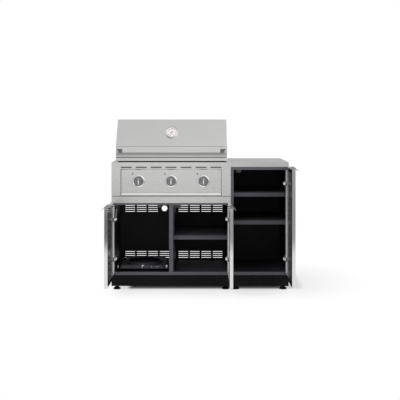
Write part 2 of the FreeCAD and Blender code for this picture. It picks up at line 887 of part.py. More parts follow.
def knob(x):
    """Turning knob with a raised grip bar and a socket for its stem."""
    back = recess_depth - knob_back_gap
    front = back - knob_depth
    body = rod_y(x, front, knob_z, knob_radius, knob_depth)
    body = body.makeChamfer(knob_chamfer, edges_at_depth(body, front))
    grip = block((x - grip_width / 2, x + grip_width / 2), (front - grip_depth, front),
                 (knob_z - grip_length / 2, knob_z + grip_length / 2))
    grip = grip.makeFillet(grip_round, edges_at_depth(grip, front - grip_depth))
    socket = rod_y(x, back - stem_in_knob, knob_z, stem_radius + running_gap, stem_in_knob + overcut)
    return cut(fuse([body, grip]), [socket])


def valve_stem(x):
    """Stem between knob and valve, a running fit in both."""
    start = recess_depth - knob_back_gap - stem_in_knob + end_gap
    return rod_y(x, start, knob_z, stem_radius, stem_length)


def gas_train():
    """Manifold pipe in front of the firebox with one valve body per knob."""
    pipe_d = firebox_front - manifold_clearance - manifold_radius
    pipe = rod_x(grill_mid_x - manifold_length / 2, pipe_d, knob_z, manifold_radius, manifold_length)
    mounts = []
    for s in (-1, 1):
        mount_x = grill_mid_x + s * (manifold_length / 2 - manifold_mount_inset)
        x_span = (mount_x - manifold_mount_width / 2, mount_x + manifold_mount_width / 2)
        mounts.append(block(x_span, (pipe_d, firebox_front), (knob_z - sheet, knob_z + sheet)))
        mounts.append(block(x_span, (firebox_front - sheet, firebox_front),
                            (knob_z - manifold_mount_height / 2, knob_z + manifold_mount_height / 2)))
    pipe = fuse([pipe] + mounts)
    solids = []
    half = valve_size / 2
    stem_start = recess_depth - knob_back_gap - stem_in_knob + end_gap
    bore_end = stem_start + stem_length + knob_travel + stem_end_gap
    valve_d = (valve_front, pipe_d - manifold_radius)
    for x in knob_xs:
        valve = block((x - half, x + half), valve_d, (knob_z - half, knob_z + half))
        bore_length = bore_end - valve_front + overcut
        bore = rod_y(x, valve_front - overcut, knob_z, stem_radius + running_gap, bore_length)
        solids.append(cut(valve, [bore]))
    return [pipe] + solids


def burner(x):
    """Straight tube burner from the valve side to the back wall of the firebox."""
    length = firebox_back - sheet - end_gap - burner_front
    tube = rod_y(x, burner_front, burner_z, burner_radius, length)
    bore_length = length - burner_wall + overcut
    bore = rod_y(x, burner_front - overcut, burner_z, burner_radius - burner_wall, bore_length)
    return cut(tube, [bore])


def flame_tamer(x):
    """Folded ridge over a burner."""
    apex = counter_height - tamer_apex_drop
    half = tamer_width / 2
    d = (firebox_front + sheet + end_gap, firebox_back - sheet - end_gap)
    outline = [
        (x - half, apex - tamer_rise),
        (x, apex),
        (x + half, apex - tamer_rise),
        (x + half, apex - tamer_rise - tamer_sheet),
        (x, apex - tamer_sheet),
        (x - half, apex - tamer_rise - tamer_sheet),
    ]
    corners = [V(px, row_y(d[0]), pz) for px, pz in outline]
    face = Part.Face(Part.makePolygon(corners + corners[:1]))
    return face.extrude(V(0, d[1] - d[0], 0))


def grate(index):
    """One of three cooking grates: bars front to back on two cross bars."""
    width = (firebox_right - firebox_left - 2 * sheet - 2 * end_gap - 2 * grate_section_gap) / knob_count
    x0 = firebox_left + sheet + end_gap + index * (width + grate_section_gap)
    d = (firebox_front + sheet + end_gap, firebox_back - sheet - end_gap)
    low = counter_height - grate_ledge_drop + end_gap
    count = int(width // grate_bar_pitch)
    step = (width - grate_bar) / count
    bars = []
    for i in range(count + 1):
        bx = x0 + i * step
        bars.append(block((bx, bx + grate_bar), d, (low, low + grate_bar)))
    for cross in (d[0], d[1] - grate_bar):
        bars.append(block((x0, x0 + width), (cross, cross + grate_bar), (low, low + grate_bar)))
    return fuse(bars)


def drip_rail(outer_x, inward):
    """Hanger under the firebox that guides one side of the drip tray."""
    d = (drip_rail_start, drip_tray_start + drip_tray_depth)
    low = panel_bottom + panel_lower_strip + end_gap
    tip = outer_x + inward * (sheet + drip_rail_flange)
    return fuse([
        block(span(outer_x, outer_x + inward * sheet), d, (low, firebox_bottom)),
        block(span(outer_x, tip), d, (low, low + sheet)),
        block(span(outer_x, tip), (firebox_front, d[1]), (firebox_bottom - sheet, firebox_bottom)),
    ])


def drip_tray():
    """Shallow grease tray whose front lip is the sloped ledge under the knobs."""
    low = panel_bottom + panel_lower_strip + end_gap + sheet + tray_slide_gap
    high = low + drip_tray_height
    x = (recess_left + drip_side_gap, recess_right - drip_side_gap)
    d = (drip_tray_start, drip_tray_start + drip_tray_depth)
    outer = block(x, d, (low, high))
    t = drip_tray_sheet
    inner = block((x[0] + t, x[1] - t), (d[0] + t, d[1] - t), (low + t, high + overcut))
    lip = prism_x([
        (d[0] + t, high),
        (d[0], high),
        (d[0] - drip_lip_reach - t, low + t),
        (d[0] - drip_lip_reach - t, low),
        (d[0] + t, low),
        (d[0] + t, low + t),
        (d[0] - drip_lip_reach, low + t),
        (d[0] + t, high - t),
    ], x)
    return fuse([cut(outer, [inner]), lip])


def hood_edges(x, offset):
    """The hood's side outline at x, moved inwards by offset, as an open chain of edges."""
    def point(d, z):
        return V(x, row_y(d), z)

    slope = V(0, hood_slope_back - hood_front, hood_top - hood_crease_z)
    slope.normalize()
    turn = math.atan2(slope.z, slope.y)
    crease_shift = offset * math.tan((math.pi / 2 - turn) / 2)
    top_shift = offset * math.tan(turn / 2)
    front = hood_front + offset
    crease = point(front, hood_crease_z - crease_shift)
    top_front = point(hood_slope_back + top_shift, hood_top - offset)
    round_r = hood_top_round - offset
    top_back = point(hood_back - hood_top_round, hood_top - offset)
    round_mid = point(hood_back - hood_top_round + round_r * math.sin(math.pi / 4),
                      hood_top - hood_top_round + round_r * math.cos(math.pi / 4))
    back_top = point(hood_back - offset, hood_top - hood_top_round)
    back_low = point(hood_back - offset, pivot_z)
    return crease, top_front, top_back, round_mid, back_top, back_low


def skin_face(x, offset, lower_front, rear_end):
    """Closed outline of the hood at x, from its front edge round to its rear end."""
    crease, top_front, top_back, round_mid, back_top, back_low = hood_edges(x, offset)
    chain = lower_front + [crease, top_front, top_back]
    edges = [Part.LineSegment(a, b).toShape() for a, b in zip(chain, chain[1:])]
    edges.append(Part.Arc(top_back, round_mid, back_top).toShape())
    edges.append(Part.LineSegment(back_top, back_low).toShape())
    edges += rear_end(back_low)
    last = edges[-1].Vertexes[-1].Point
    edges.append(Part.LineSegment(last, chain[0]).toShape())
    return Part.Face(Part.Wire(Part.__sortEdges__(edges)))


def roll(x, radius, angle):
    """The rolled rear edge about the pivot, from level with it down by an angle."""
    def point(a):
        return V(x, row_y(pivot_y + radius * math.cos(a)), pivot_z - radius * math.sin(a))

    return Part.Arc(point(0), point(angle / 2), point(angle)).toShape()


def hood_body(x, offset, low):
    """Solid hood volume, its skin moved inwards by offset, from the height low upwards."""
    front = hood_front + offset
    start = [V(x[0], row_y(front), low)]

    def rear(corner):
        if low < corner.z:
            return [Part.LineSegment(corner, V(x[0], corner.y, low)).toShape()]
        return []

    return skin_face(x[0], offset, start, rear).extrude(V(x[1] - x[0], 0, 0))


def hood_shell():
    """Outer stainless skin between the end panels, with a flared lip and a rolled rear edge."""
    x = (hood_left + hood_end_sheet, hood_right - hood_end_sheet)
    t = hood_sheet
    body = hood_body(x, 0, pivot_z).cut(hood_body(past(*x), t, pivot_z - overcut))
    ridge = counter_height + hood_ridge_height
    fold_d = hood_front + hood_fold_depth
    front = prism_x([
        (hood_front, pivot_z),
        (hood_front, ridge),
        (fold_d, ridge),
        (hood_lip_front, hood_bottom),
        (hood_lip_front + t, hood_bottom),
        (fold_d + t, ridge),
        (fold_d + t, ridge + t),
        (hood_front + t, ridge + t),
        (hood_front + t, pivot_z),
    ], x)
    angle = math.radians(hood_roll_angle)
    outer = roll(x[0], hood_pivot_radius, angle)
    inner = roll(x[0], hood_pivot_radius - t, angle)
    ends = [
        Part.LineSegment(outer.Vertexes[i].Point, inner.Vertexes[i].Point).toShape() for i in (0, 1)
    ]
    rolled = Part.Face(Part.Wire(Part.__sortEdges__([outer, inner] + ends)))
    rolled = rolled.extrude(V(x[1] - x[0], 0, 0))
    hole = gauge_rod(-gauge_depth, gauge_hole_depth, gauge_hole_radius)
    return cut(fuse([body, front, rolled]), [hole])


def hood_end(x):
    """End panel with the hood's outline and the pivot bore."""
    ridge = counter_height + hood_ridge_height
    start = [
        V(x[0], row_y(hood_lip_front), hood_bottom),
        V(x[0], row_y(hood_front + hood_fold_depth), ridge),
        V(x[0], row_y(hood_front), ridge),
    ]

    def rear(corner):
        return [roll(x[0], hood_pivot_radius, math.pi / 2)]

    panel = skin_face(x[0], 0, start, rear).extrude(V(x[1] - x[0], 0, 0))
    bore_x = past(*x)
    bore = rod_x(bore_x[0], pivot_y, pivot_z, hood_pin_radius + running_gap, bore_x[1] - bore_x[0])
    return cut(panel, [bore])


def hood_liner():
    """Inner skin of the double-walled hood."""
    x = (hood_left + hood_end_sheet, hood_right - hood_end_sheet)
    low = counter_height + hood_liner_lift
    outer = hood_body(x, liner_offset, pivot_z)
    inner = hood_body(past(*x), liner_offset + hood_liner_sheet, pivot_z - overcut)
    front_d = (hood_front + liner_offset, hood_front + liner_offset + hood_liner_sheet)
    front = block(x, front_d, (low, pivot_z))
    hole = gauge_rod(-gauge_depth, gauge_hole_depth, gauge_hole_radius)
    return cut(fuse([outer.cut(inner), front]), [hole])


def rounded_bar(x, d, z, radius):
    """A box along X with its four long edges rounded."""
    bar = block(x, d, z)
    long_edges = [e for e in bar.Edges if e.BoundBox.XLength > same_place]
    long_edges = [e for e in long_edges if e.BoundBox.YLength + e.BoundBox.ZLength < same_place]
    return bar.makeFillet(radius, long_edges)


def handle_ranges():
    """Depth and height ranges of the handle bar."""
    d = (hood_front - handle_reach, hood_front - handle_reach + handle_depth)
    middle_z = counter_height + handle_z_above_deck
    return d, (middle_z - handle_height / 2, middle_z + handle_height / 2)


def handle_bar():
    """Full-width hollow bar with rounded edges; at its ends only the top strip runs on."""
    x = (grill_mid_x - handle_length / 2, grill_mid_x + handle_length / 2)
    d, z = handle_ranges()
    wall = handle_wall
    bar = rounded_bar(x, d, z, handle_edge_round)
    hollow = rounded_bar(past(*x), (d[0] + wall, d[1] - wall), (z[0] + wall, z[1] - wall),
                         handle_edge_round - wall)
    notch_z = (z[0] - overcut, z[1] - handle_strip_height)
    notches = [
        block((x[0] - overcut, x[0] + handle_bracket_width), past(*d), notch_z),
        block((x[1] - handle_bracket_width, x[1] + overcut), past(*d), notch_z),
    ]
    return cut(bar, [hollow] + notches)


def handle_bracket(x, inward):
    """End casting under the bar's top strip: narrower at its foot, keyed into the bar, fixed to the hood."""
    d, z = handle_ranges()
    top = z[1] - handle_strip_height
    front = d[0] + handle_bracket_set_back
    inner = x + inward * handle_bracket_width
    foot = inner - inward * handle_bracket_foot
    outline = [V(px, row_y(front), pz) for px, pz in ((x, top), (inner, top), (inner, z[0]), (foot, z[0]))]
    face = Part.Face(Part.makePolygon(outline + outline[:1]))
    casting = face.extrude(V(0, hood_front - front, 0))
    rear = prism_x([
        (front - overcut, z[0]),
        (d[1], z[0]),
        (hood_front, z[0] + handle_bracket_rise),
        (hood_front, top),
        (front - overcut, top),
    ], span(x, inner))
    inset = handle_wall + handle_key_gap
    key = block(span(x + inward * inset, inner), (d[0] + inset, d[1] - inset), (top, top + handle_key_height))
    return fuse([casting.common(rear), key])


def gauge_axes():
    """Where the thermometer's axis meets the slope, the way up the slope and the way inwards."""
    slope = V(0, hood_slope_back - hood_front, hood_top - hood_crease_z)
    slope.normalize()
    rise = counter_height + gauge_z_above_deck - hood_crease_z
    centre = V(grill_mid_x, row_y(hood_front + rise * slope.y / slope.z), hood_crease_z + rise)
    return centre, slope, V(0, slope.z, -slope.y)


def gauge_rod(start, end, radius):
    """A rod on the thermometer's axis, from start to end inwards of the sloped skin."""
    centre, slope, inward = gauge_axes()
    return Part.makeCylinder(radius, end - start, centre + inward * start, inward)


def thermometer_case():
    """Bezel and cup on the slope, with the probe inwards and the needle's pin in the middle."""
    body = gauge_rod(-gauge_depth, 0, gauge_radius)
    dial = gauge_well - gauge_depth
    well = gauge_rod(-gauge_depth - overcut, dial, gauge_radius - gauge_rim)
    probe = gauge_rod(-overcut, gauge_stem_length, gauge_stem_radius)
    pin = gauge_rod(gauge_pin_set_back - gauge_depth, dial + overcut, gauge_pin_radius)
    return fuse([cut(body, [well]), probe, pin])


def thermometer_needle():
    """Balanced pointer on its pin, over the dial."""
    top = -gauge_depth + gauge_well - needle_lift
    hub = gauge_rod(top - needle_thickness, top, needle_hub_radius)
    centre, slope, inward = gauge_axes()
    base = centre + inward * (top - needle_thickness)
    across = (V(-1, 0, 0) - slope).normalize()
    side = across.cross(inward)
    corners = [
        base + across * needle_length,
        base + side * needle_hub_radius / 2,
        base - across * needle_tail + side * needle_hub_radius,
        base - across * needle_tail - side * needle_hub_radius,
        base - side * needle_hub_radius / 2,
    ]
    pointer = Part.Face(Part.makePolygon(corners + corners[:1])).extrude(inward * needle_thickness)
    bore = gauge_rod(-gauge_depth - overcut, 0, gauge_pin_radius + running_gap)
    return cut(fuse([hub, pointer]), [bore])


def pivot_bracket(hood_x, outward):
    """Upright on the deck outside a hood end, with the pin the hood turns on."""
    near = hood_x + outward * bracket_gap
    far = near + outward * bracket_sheet
    d = (pivot_y - bracket_half_width, pivot_y + bracket_half_width)
    plate = block(span(near, far), d, (counter_height, pivot_z))
    dome = rod_x(min(near, far), pivot_y, pivot_z, bracket_half_width, bracket_sheet)
    foot_x = span(near, near + outward * bracket_foot_width)
    foot = block(foot_x, d, (counter_height, counter_height + bracket_foot_thickness))
    pin_x = span(far, far - outward * hood_pin_length)
    pin = rod_x(pin_x[0], pivot_y, pivot_z, hood_pin_radius, hood_pin_length)
    return fuse([plate, dome, foot, pin])


def make_cabinets():
    export("grill_cabinet_sides", [grill_side(left_x, 1, True), grill_side(join_x, -1, False)])
    export("grill_cabinet_back", grill_back())
    export("grill_cabinet_floor", cabinet_floor(left_x, join_x))
    export("grill_cabinet_divider", grill_divider())
    export("grill_cabinet_apron", apron())
    export("side_cabinet_sides", [side_panel(join_x, 1, side_top), side_panel(right_x, -1, side_top)])
    side_back = block((join_x, right_x), (back_face, cabinet_depth), (floor_z, side_top))
    export("side_cabinet_back", side_back)
    export("side_cabinet_floor", cabinet_floor(join_x, right_x))
    export("side_cabinet_countertop", countertop())
    rails = top_rails(left_x, join_x, opening_top, apron_bottom)
    rails += top_rails(join_x, right_x, side_top - side_rail_height, side_top)
    export("cabinet_top_rails", rails)
    export("toe_kicks", toe_kick(left_x, join_x) + toe_kick(join_x, right_x))
    bays = [
        (divider_right, join_x - sheet, grill_shelf_top),
        (join_x + sheet, right_x - sheet, lower_shelf_top),
        (join_x + sheet, right_x - sheet, upper_shelf_top),
    ]
    export("cabinet_shelves", [shelf(*bay) for bay in bays])
    export("shelf_pins", [pin for bay in bays for pin in shelf_pins(*bay)])
    for number, (x, d) in enumerate(foot_places(), 1):
        export("levelling_foot_" + str(number), levelling_foot(x, d))


def make_doors():
    left_catch_x = divider_left - left_catch_from_divider - left_catch_width / 2
    middle_catch_x = divider_right + catch_from_divider + catch_width / 2
    grill_hinges = (hinge_low_z, hinge_high_z)
    side_hinges = (hinge_low_z, side_hinge_high_z)
    side_catch_x = join_x + side_catch_offset + side_catch_width / 2
    doors = {
        "left_door": Door(left_x + door_reveal, 1, grill_door_width, grill_door_top,
                          top_rail_height, grill_hinges, left_catch_x),
        "middle_door": Door(join_x - door_reveal, -1, grill_door_width, grill_door_top,
                            top_rail_height, grill_hinges, middle_catch_x),
        "right_door": Door(right_x - door_reveal, -1, side_door_width, side_door_top,
                           side_rail_height, side_hinges, side_catch_x),
    }
    arms = []
    for name, door in doors.items():
        export(name + "_pan", door.pan())
        export(name + "_liner", door.liner())
        export(name + "_pull", door.pull())
        export(name + "_hinge_cups", door.hinge_cups())
        arms += door.hinge_arms()
    export("hinge_arms", arms)
    export("magnetic_catches", [
        magnetic_catch(left_catch_x, left_catch_width, opening_top),
        magnetic_catch(middle_catch_x, catch_width, opening_top),
        magnetic_catch(side_catch_x, side_catch_width, side_top - side_rail_height),
    ])


def make_trays():
    export("tank_tray", tank_tray())
    export("drip_tray", drip_tray())
    drip_edge = drip_side_gap
    export("tray_rails", [
        tank_rail(tray_left, 1),
        tank_rail(tray_right, -1),
        drip_rail(recess_left - drip_edge, 1),
        drip_rail(recess_right + drip_edge, -1),
    ])


def make_grill():
    export("grill_firebox", firebox())
    export("grill_deck", deck())
    export("grill_control_panel", control_panel())
    export("knob_bezels", [knob_bezel(x) for x in knob_xs])
    for name, x in zip(("left", "centre", "right"), knob_xs):
        export(name + "_knob", knob(x))
        export(name + "_valve_stem", valve_stem(x))
    export("gas_manifold", gas_train())
    export("burners", [burner(x) for x in knob_xs])
    export("flame_tamers", [flame_tamer(x) for x in knob_xs])
    export("cooking_grates", [grate(i) for i in range(knob_count)])


def make_hood():
    export("hood_shell", hood_shell())
    export("hood_end_panels", [
        hood_end((hood_left, hood_left + hood_end_sheet)),
        hood_end((hood_right - hood_end_sheet, hood_right)),
    ])
    export("hood_liner", hood_liner())
    export("hood_handle_bar", handle_bar())
    half = handle_length / 2
    export("hood_handle_brackets", [
        handle_bracket(grill_mid_x - half, 1),
        handle_bracket(grill_mid_x + half, -1),
    ])
    export("hood_pivot_brackets", [pivot_bracket(hood_left, -1), pivot_bracket(hood_right, 1)])
    export("thermometer_case", thermometer_case())
    export("thermometer_needle", thermometer_needle())


os.makedirs("parts", exist_ok=True)
make_cabinets()
make_doors()
make_trays()
make_grill()
make_hood()
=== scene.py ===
"""Looks of the outdoor kitchen island: materials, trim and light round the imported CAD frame."""

import json
import math

import bmesh
import bpy
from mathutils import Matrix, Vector


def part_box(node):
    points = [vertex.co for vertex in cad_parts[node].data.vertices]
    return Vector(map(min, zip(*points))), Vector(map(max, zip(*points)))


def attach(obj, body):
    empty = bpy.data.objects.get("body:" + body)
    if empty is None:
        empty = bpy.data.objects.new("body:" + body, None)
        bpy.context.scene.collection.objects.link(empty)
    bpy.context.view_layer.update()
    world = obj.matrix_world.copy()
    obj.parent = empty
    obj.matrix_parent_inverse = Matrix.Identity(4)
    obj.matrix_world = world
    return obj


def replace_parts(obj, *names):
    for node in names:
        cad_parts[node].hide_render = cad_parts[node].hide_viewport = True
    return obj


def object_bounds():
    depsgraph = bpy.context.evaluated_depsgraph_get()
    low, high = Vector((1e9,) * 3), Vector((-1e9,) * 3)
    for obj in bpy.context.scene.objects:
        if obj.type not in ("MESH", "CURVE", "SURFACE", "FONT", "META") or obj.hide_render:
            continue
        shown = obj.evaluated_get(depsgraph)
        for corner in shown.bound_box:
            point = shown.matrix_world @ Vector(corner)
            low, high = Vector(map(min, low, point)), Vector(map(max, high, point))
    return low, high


MM = 0.001

# The photograph's frame: its size, its horizon and middle column in pixels, and its scale
PHOTO_SIZE = 400
PHOTO_HORIZON = 121
PHOTO_FOCAL = 783
SENSOR_WIDTH = 36.0
CAMERA_TO_FRONT = 5.5
CAMERA_HEIGHT = 1.186

# World: the fill for matt surfaces, and the walls that metal reflects, as (direction, level) along each axis
WORLD_LEVEL = 0.62
RAMP_SCALE = 2.0
ROOM_BY_HEIGHT = ((-1.0, 0.85), (0.0, 0.86), (0.75, 0.95), (0.90, 1.15), (0.97, 0.86), (1.0, 0.82))
ROOM_BY_DEPTH = ((-1.0, 1.0), (0.0, 0.95), (0.5, 0.75), (1.0, 0.62))
ROOM_BY_SIDE = ((-1.0, 0.35), (-0.4, 0.6), (-0.15, 0.95), (0.0, 1.0), (0.15, 1.05), (0.6, 1.35),
                (1.0, 1.5))
# Patches among the walls: direction, level, and the cosines at which a patch starts and is full.
# A softbox adds its level to the walls, and the dark card multiplies them by it.
SOFTBOX_EDGE = (0.935, 0.975)
SOFTBOXES = (((-0.66, -0.35, 0.66), 0.4, SOFTBOX_EDGE), ((0.66, -0.35, 0.66), 0.4, SOFTBOX_EDGE))
DARK_CARD = ((0.0, 0.36, 0.93), 0.55, (0.84, 0.94))
# Floor: where its matt part ends (metres behind the front, and at the sides metres from the object's box with a
# stretch of the distance beyond), and how white it is by that distance
FLOOR_UNDER = 0.09
FLOOR_LEFT = (0.16, 2.0)
FLOOR_RIGHT = (0.01, 0.75)
FLOOR_FADE = ((0.0, 0.03), (0.013, 0.06), (0.046, 0.29), (0.079, 0.66), (0.11, 0.66), (0.175, 0.68),
              (0.27, 0.78), (0.45, 1.0))
# Floor in metal: a bright sweep before the object, and where by distance and side the dark studio takes over
FLOOR_REACH = 10.0
FLOOR_BAND = ((0.0, 0.0), (2.3, 0.0), (3.05, 1.0), (6.2, 1.0), (6.9, 0.0), (10.0, 0.0))
FLOOR_BRIGHT = 1.02
FLOOR_DARK = (0.20, 0.42)
FLOOR_DARK_FROM_X = (-0.95, -0.72)
FAR_RIGHT_FROM_X = (0.70, 0.90)
FAR_RIGHT_FROM_AHEAD = (0.16, 0.24)

KNOBS = ("left", "centre", "right")
# Doors: the way along X from the hinges into the bay, and the hinges' heights in mm
DOORS = {"left_door": (1, (218, 496)), "middle_door": (-1, (218, 496)), "right_door": (-1, (218, 747))}

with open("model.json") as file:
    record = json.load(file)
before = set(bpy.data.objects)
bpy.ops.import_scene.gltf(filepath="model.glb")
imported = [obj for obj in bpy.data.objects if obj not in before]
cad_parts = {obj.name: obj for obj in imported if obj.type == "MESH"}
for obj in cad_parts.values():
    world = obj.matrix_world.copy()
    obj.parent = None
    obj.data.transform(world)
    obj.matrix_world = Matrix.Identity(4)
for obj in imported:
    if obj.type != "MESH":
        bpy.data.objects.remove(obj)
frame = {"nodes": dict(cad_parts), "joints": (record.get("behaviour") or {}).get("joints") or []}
NODES = frame["nodes"]
CAD_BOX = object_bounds()


def joint_named(name):
    """A joint of the frame by its name."""
    return next(joint for joint in frame["joints"] if joint["name"] == name)


def new_object(name, data):
    """A new object in the scene round some data."""
    obj = bpy.data.objects.new(name, data)
    bpy.context.scene.collection.objects.link(obj)
    return obj


FRONT_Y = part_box("grill_control_panel")[0].y


def new_material(name):
    """A node material and its shader."""
    material = bpy.data.materials.new(name)
    material.use_nodes = True
    tree = material.node_tree
    shader = tree.nodes["Principled BSDF"]
    return material, tree, shader


def connect(tree, value, socket):
    """Links another node's output to a socket, or writes a number or colour there."""
    if isinstance(value, bpy.types.NodeSocket):
        tree.links.new(value, socket)
    else:
        socket.default_value = value


def add_node(tree, kind, **sockets):
    """A node with some inputs set by name or linked from another socket."""
    node = tree.nodes.new(kind)
    for key, value in sockets.items():
        connect(tree, value, node.inputs[key.replace("_", " ")])
    return node


def maths(tree, operation, *values):
    """One maths operation on numbers or other nodes' outputs."""
    node = tree.nodes.new("ShaderNodeMath")
    node.operation = operation
    for value, socket in zip(values, node.inputs):
        connect(tree, value, socket)
    return node.outputs[0]


def ranged(tree, value, start, end, low=0.0, high=1.0, kind="LINEAR"):
    """A value's range mapped to another and clamped there."""
    node = add_node(tree, "ShaderNodeMapRange", Value=value, From_Min=start, From_Max=end,
                    To_Min=low, To_Max=high)
    node.interpolation_type = kind
    return node.outputs["Result"]


def piece_coordinates(tree, scale):
    """Coordinates that stay on the piece, stretched by a scale in each direction."""
    place = tree.nodes.new("ShaderNodeTexCoord")
    mapping = add_node(tree, "ShaderNodeMapping", Vector=place.outputs["Object"])
    mapping.inputs["Scale"].default_value = scale
    return mapping.outputs["Vector"]


def noise(tree, scale, detail=3.0, roughness=0.55, size=1.0):
    """A noise value on stretched piece coordinates."""
    texture = add_node(tree, "ShaderNodeTexNoise", Vector=piece_coordinates(tree, scale),
                       Scale=size, Detail=detail, Roughness=roughness)
    return texture.outputs["Fac"]


def spread(tree, value, low, high):
    """Maps the middle of a noise's range to low and high."""
    return ranged(tree, value, 0.3, 0.7, low, high)


def mix_colours(tree, fac, first, second):
    """A colour between two others."""
    mix = tree.nodes.new("ShaderNodeMix")
    mix.data_type = "RGBA"
    tree.links.new(fac, mix.inputs[0])
    for socket, value in ((mix.inputs[6], first), (mix.inputs[7], second)):
        connect(tree, value if isinstance(value, bpy.types.NodeSocket) else (*value, 1.0), socket)
    return mix.outputs[2]


def add_heights(tree, *heights):
    """The sum of some height values."""
    total = heights[0]
    for height in heights[1:]:
        total = maths(tree, "ADD", total, height)
    return total


def bump(tree, shader, height, strength, distance, edge=0.0):
    """Bump on the shader, over edges that look rounded by a radius."""
    node = add_node(tree, "ShaderNodeBump", Height=height, Strength=strength, Distance=distance)
    if edge:
        rounded = tree.nodes.new("ShaderNodeBevel")
        rounded.samples = 4
        rounded.inputs["Radius"].default_value = edge
        tree.links.new(rounded.outputs["Normal"], node.inputs["Normal"])
    tree.links.new(node.outputs["Normal"], shader.inputs["Normal"])


def brushed_metal(name, colour, roughness, grain="X", streak=1.0, edge=0.0008):
    """Sheet steel brushed along one axis: fine streaks, a softer handling haze and rounded folds."""
    material, tree, shader = new_material(name)
    fine, wide = 2600.0, 9.0
    lines = noise(tree, [wide if axis == grain else fine for axis in "XYZ"], detail=2.0)
    bands = noise(tree, [2.2 if axis == grain else 520.0 for axis in "XYZ"], detail=4.0)
    haze = noise(tree, (3.2, 3.2, 3.2), detail=3.0)
    darker = [c * (1.0 - 0.03 * streak) for c in colour]
    lighter = [min(1.0, c * (1.0 + 0.025 * streak)) for c in colour]
    streaks = mix_colours(tree, spread(tree, bands, 0.0, 1.0), darker, lighter)
    hazy = mix_colours(tree, spread(tree, haze, 0.0, 0.35), streaks, [c * 0.93 for c in colour])
    tree.links.new(hazy, shader.inputs["Base Color"])
    rough = add_heights(tree, spread(tree, bands, roughness * 0.85, roughness * 1.1),
                        spread(tree, haze, roughness * -0.06, roughness * 0.12))
    tree.links.new(rough, shader.inputs["Roughness"])
    shader.inputs["Metallic"].default_value = 1.0
    bump(tree, shader, lines, 0.06 * streak, 0.00005, edge)
    return material


def polished_metal(name, colour, roughness):
    """Polished or plated metal with faint polishing marks."""
    material, tree, shader = new_material(name)
    marks = noise(tree, (420.0, 420.0, 420.0), detail=4.0)
    haze = noise(tree, (45.0, 45.0, 45.0), detail=2.0)
    shade = mix_colours(tree, spread(tree, haze, 0.0, 1.0), [c * 0.94 for c in colour], colour)
    tree.links.new(shade, shader.inputs["Base Color"])
    tree.links.new(spread(tree, marks, roughness * 0.7, roughness * 1.5), shader.inputs["Roughness"])
    shader.inputs["Metallic"].default_value = 1.0
    bump(tree, shader, marks, 0.03, 0.00005)
    return material


def product(tree, first, second):
    """One grey value times another."""
    return maths(tree, "MULTIPLY", first, second)


def powder_coat(name, colour, roughness, grit=1.0, edge=0.0008, shine=0.42, behind=None):
    """Baked powder coat: orange peel with tiny lighter grains.

    behind = (start, end, share): painted shade. Between these depths behind the front, the colour of faces
    inside the cabinets goes over to that share of itself, standing in for the shade there; outer side faces
    keep their colour. With a share above one the faces at the far depth are lifted instead, and the written
    colour is itself the painted shade.
    """
    material, tree, shader = new_material(name)
    peel = noise(tree, (620.0, 620.0, 620.0), detail=2.0)
    grains = noise(tree, (2300.0, 2300.0, 2300.0), detail=1.0)
    cloud = noise(tree, (5.0, 5.0, 5.0), detail=3.0)
    speck = mix_colours(tree, spread(tree, grains, 0.0, 1.0), [c * 0.82 for c in colour],
                        [min(1.0, c * 1.22) for c in colour])
    toned = mix_colours(tree, spread(tree, cloud, 0.0, 0.4), speck, [c * 0.86 for c in colour])
    # Painted shade: faces inside the cabinets darken with their depth behind the front.
    if behind:
        start, end, share = behind
        place = add_node(tree, "ShaderNodeSeparateXYZ", Vector=piece_coordinates(tree, (1.0, 1.0, 1.0)))
        painted_shade_by_depth = ranged(tree, place.outputs["Y"], FRONT_Y + start, FRONT_Y + end)
        inside = ranged(tree, maths(tree, "ABSOLUTE", place.outputs["X"]), *OUTER_SIDE_X, 1.0, 0.0)
        toned = mix_colours(tree, product(tree, painted_shade_by_depth, inside), toned, [c * share for c in colour])
    tree.links.new(toned, shader.inputs["Base Color"])
    tree.links.new(spread(tree, peel, roughness - 0.06, roughness + 0.08), shader.inputs["Roughness"])
    shader.inputs["Specular IOR Level"].default_value = shine
    bump(tree, shader, add_heights(tree, peel, grains), 0.22 * grit, 0.00018, edge)
    return material


def moulded_plastic(name, colour, roughness, shine=0.4):
    """Moulded plastic or rubber with a fine spark-eroded grain."""
    material, tree, shader = new_material(name)
    grain = noise(tree, (1500.0, 1500.0, 1500.0), detail=2.0)
    cloud = noise(tree, (30.0, 30.0, 30.0), detail=2.0)
    toned = mix_colours(tree, spread(tree, cloud, 0.0, 1.0), [c * 0.85 for c in colour],
                        [min(1.0, c * 1.15) for c in colour])
    tree.links.new(toned, shader.inputs["Base Color"])
    tree.links.new(spread(tree, grain, roughness - 0.05, roughness + 0.07), shader.inputs["Roughness"])
    shader.inputs["Specular IOR Level"].default_value = shine
    bump(tree, shader, grain, 0.15, 0.00008)
    return material


def cast_enamel(name, colour):
    """Porcelain enamel over rough castings: glossy with a pebbled surface."""
    material, tree, shader = new_material(name)
    pebbles = noise(tree, (240.0, 240.0, 240.0), detail=3.0)
    soot = noise(tree, (18.0, 18.0, 18.0), detail=4.0)
    toned = mix_colours(tree, spread(tree, soot, 0.0, 1.0), colour, [c * 0.55 for c in colour])
    tree.links.new(toned, shader.inputs["Base Color"])
    tree.links.new(spread(tree, soot, 0.32, 0.55), shader.inputs["Roughness"])
    bump(tree, shader, pebbles, 0.35, 0.0004)
    return material


def heated_steel(name, colour, tint):
    """Stainless sheet that has seen heat: straw tints in patches over its grain."""
    material, tree, shader = new_material(name)
    lines = noise(tree, (9.0, 2200.0, 2200.0), detail=2.0)
    patches = noise(tree, (7.0, 5.0, 7.0), detail=4.0, roughness=0.6)
    shade = mix_colours(tree, spread(tree, patches, 0.0, 1.0), colour, tint)
    tree.links.new(shade, shader.inputs["Base Color"])
    tree.links.new(spread(tree, patches, 0.28, 0.42), shader.inputs["Roughness"])
    shader.inputs["Metallic"].default_value = 1.0
    bump(tree, shader, lines, 0.1, 0.00006, 0.0006)
    return material


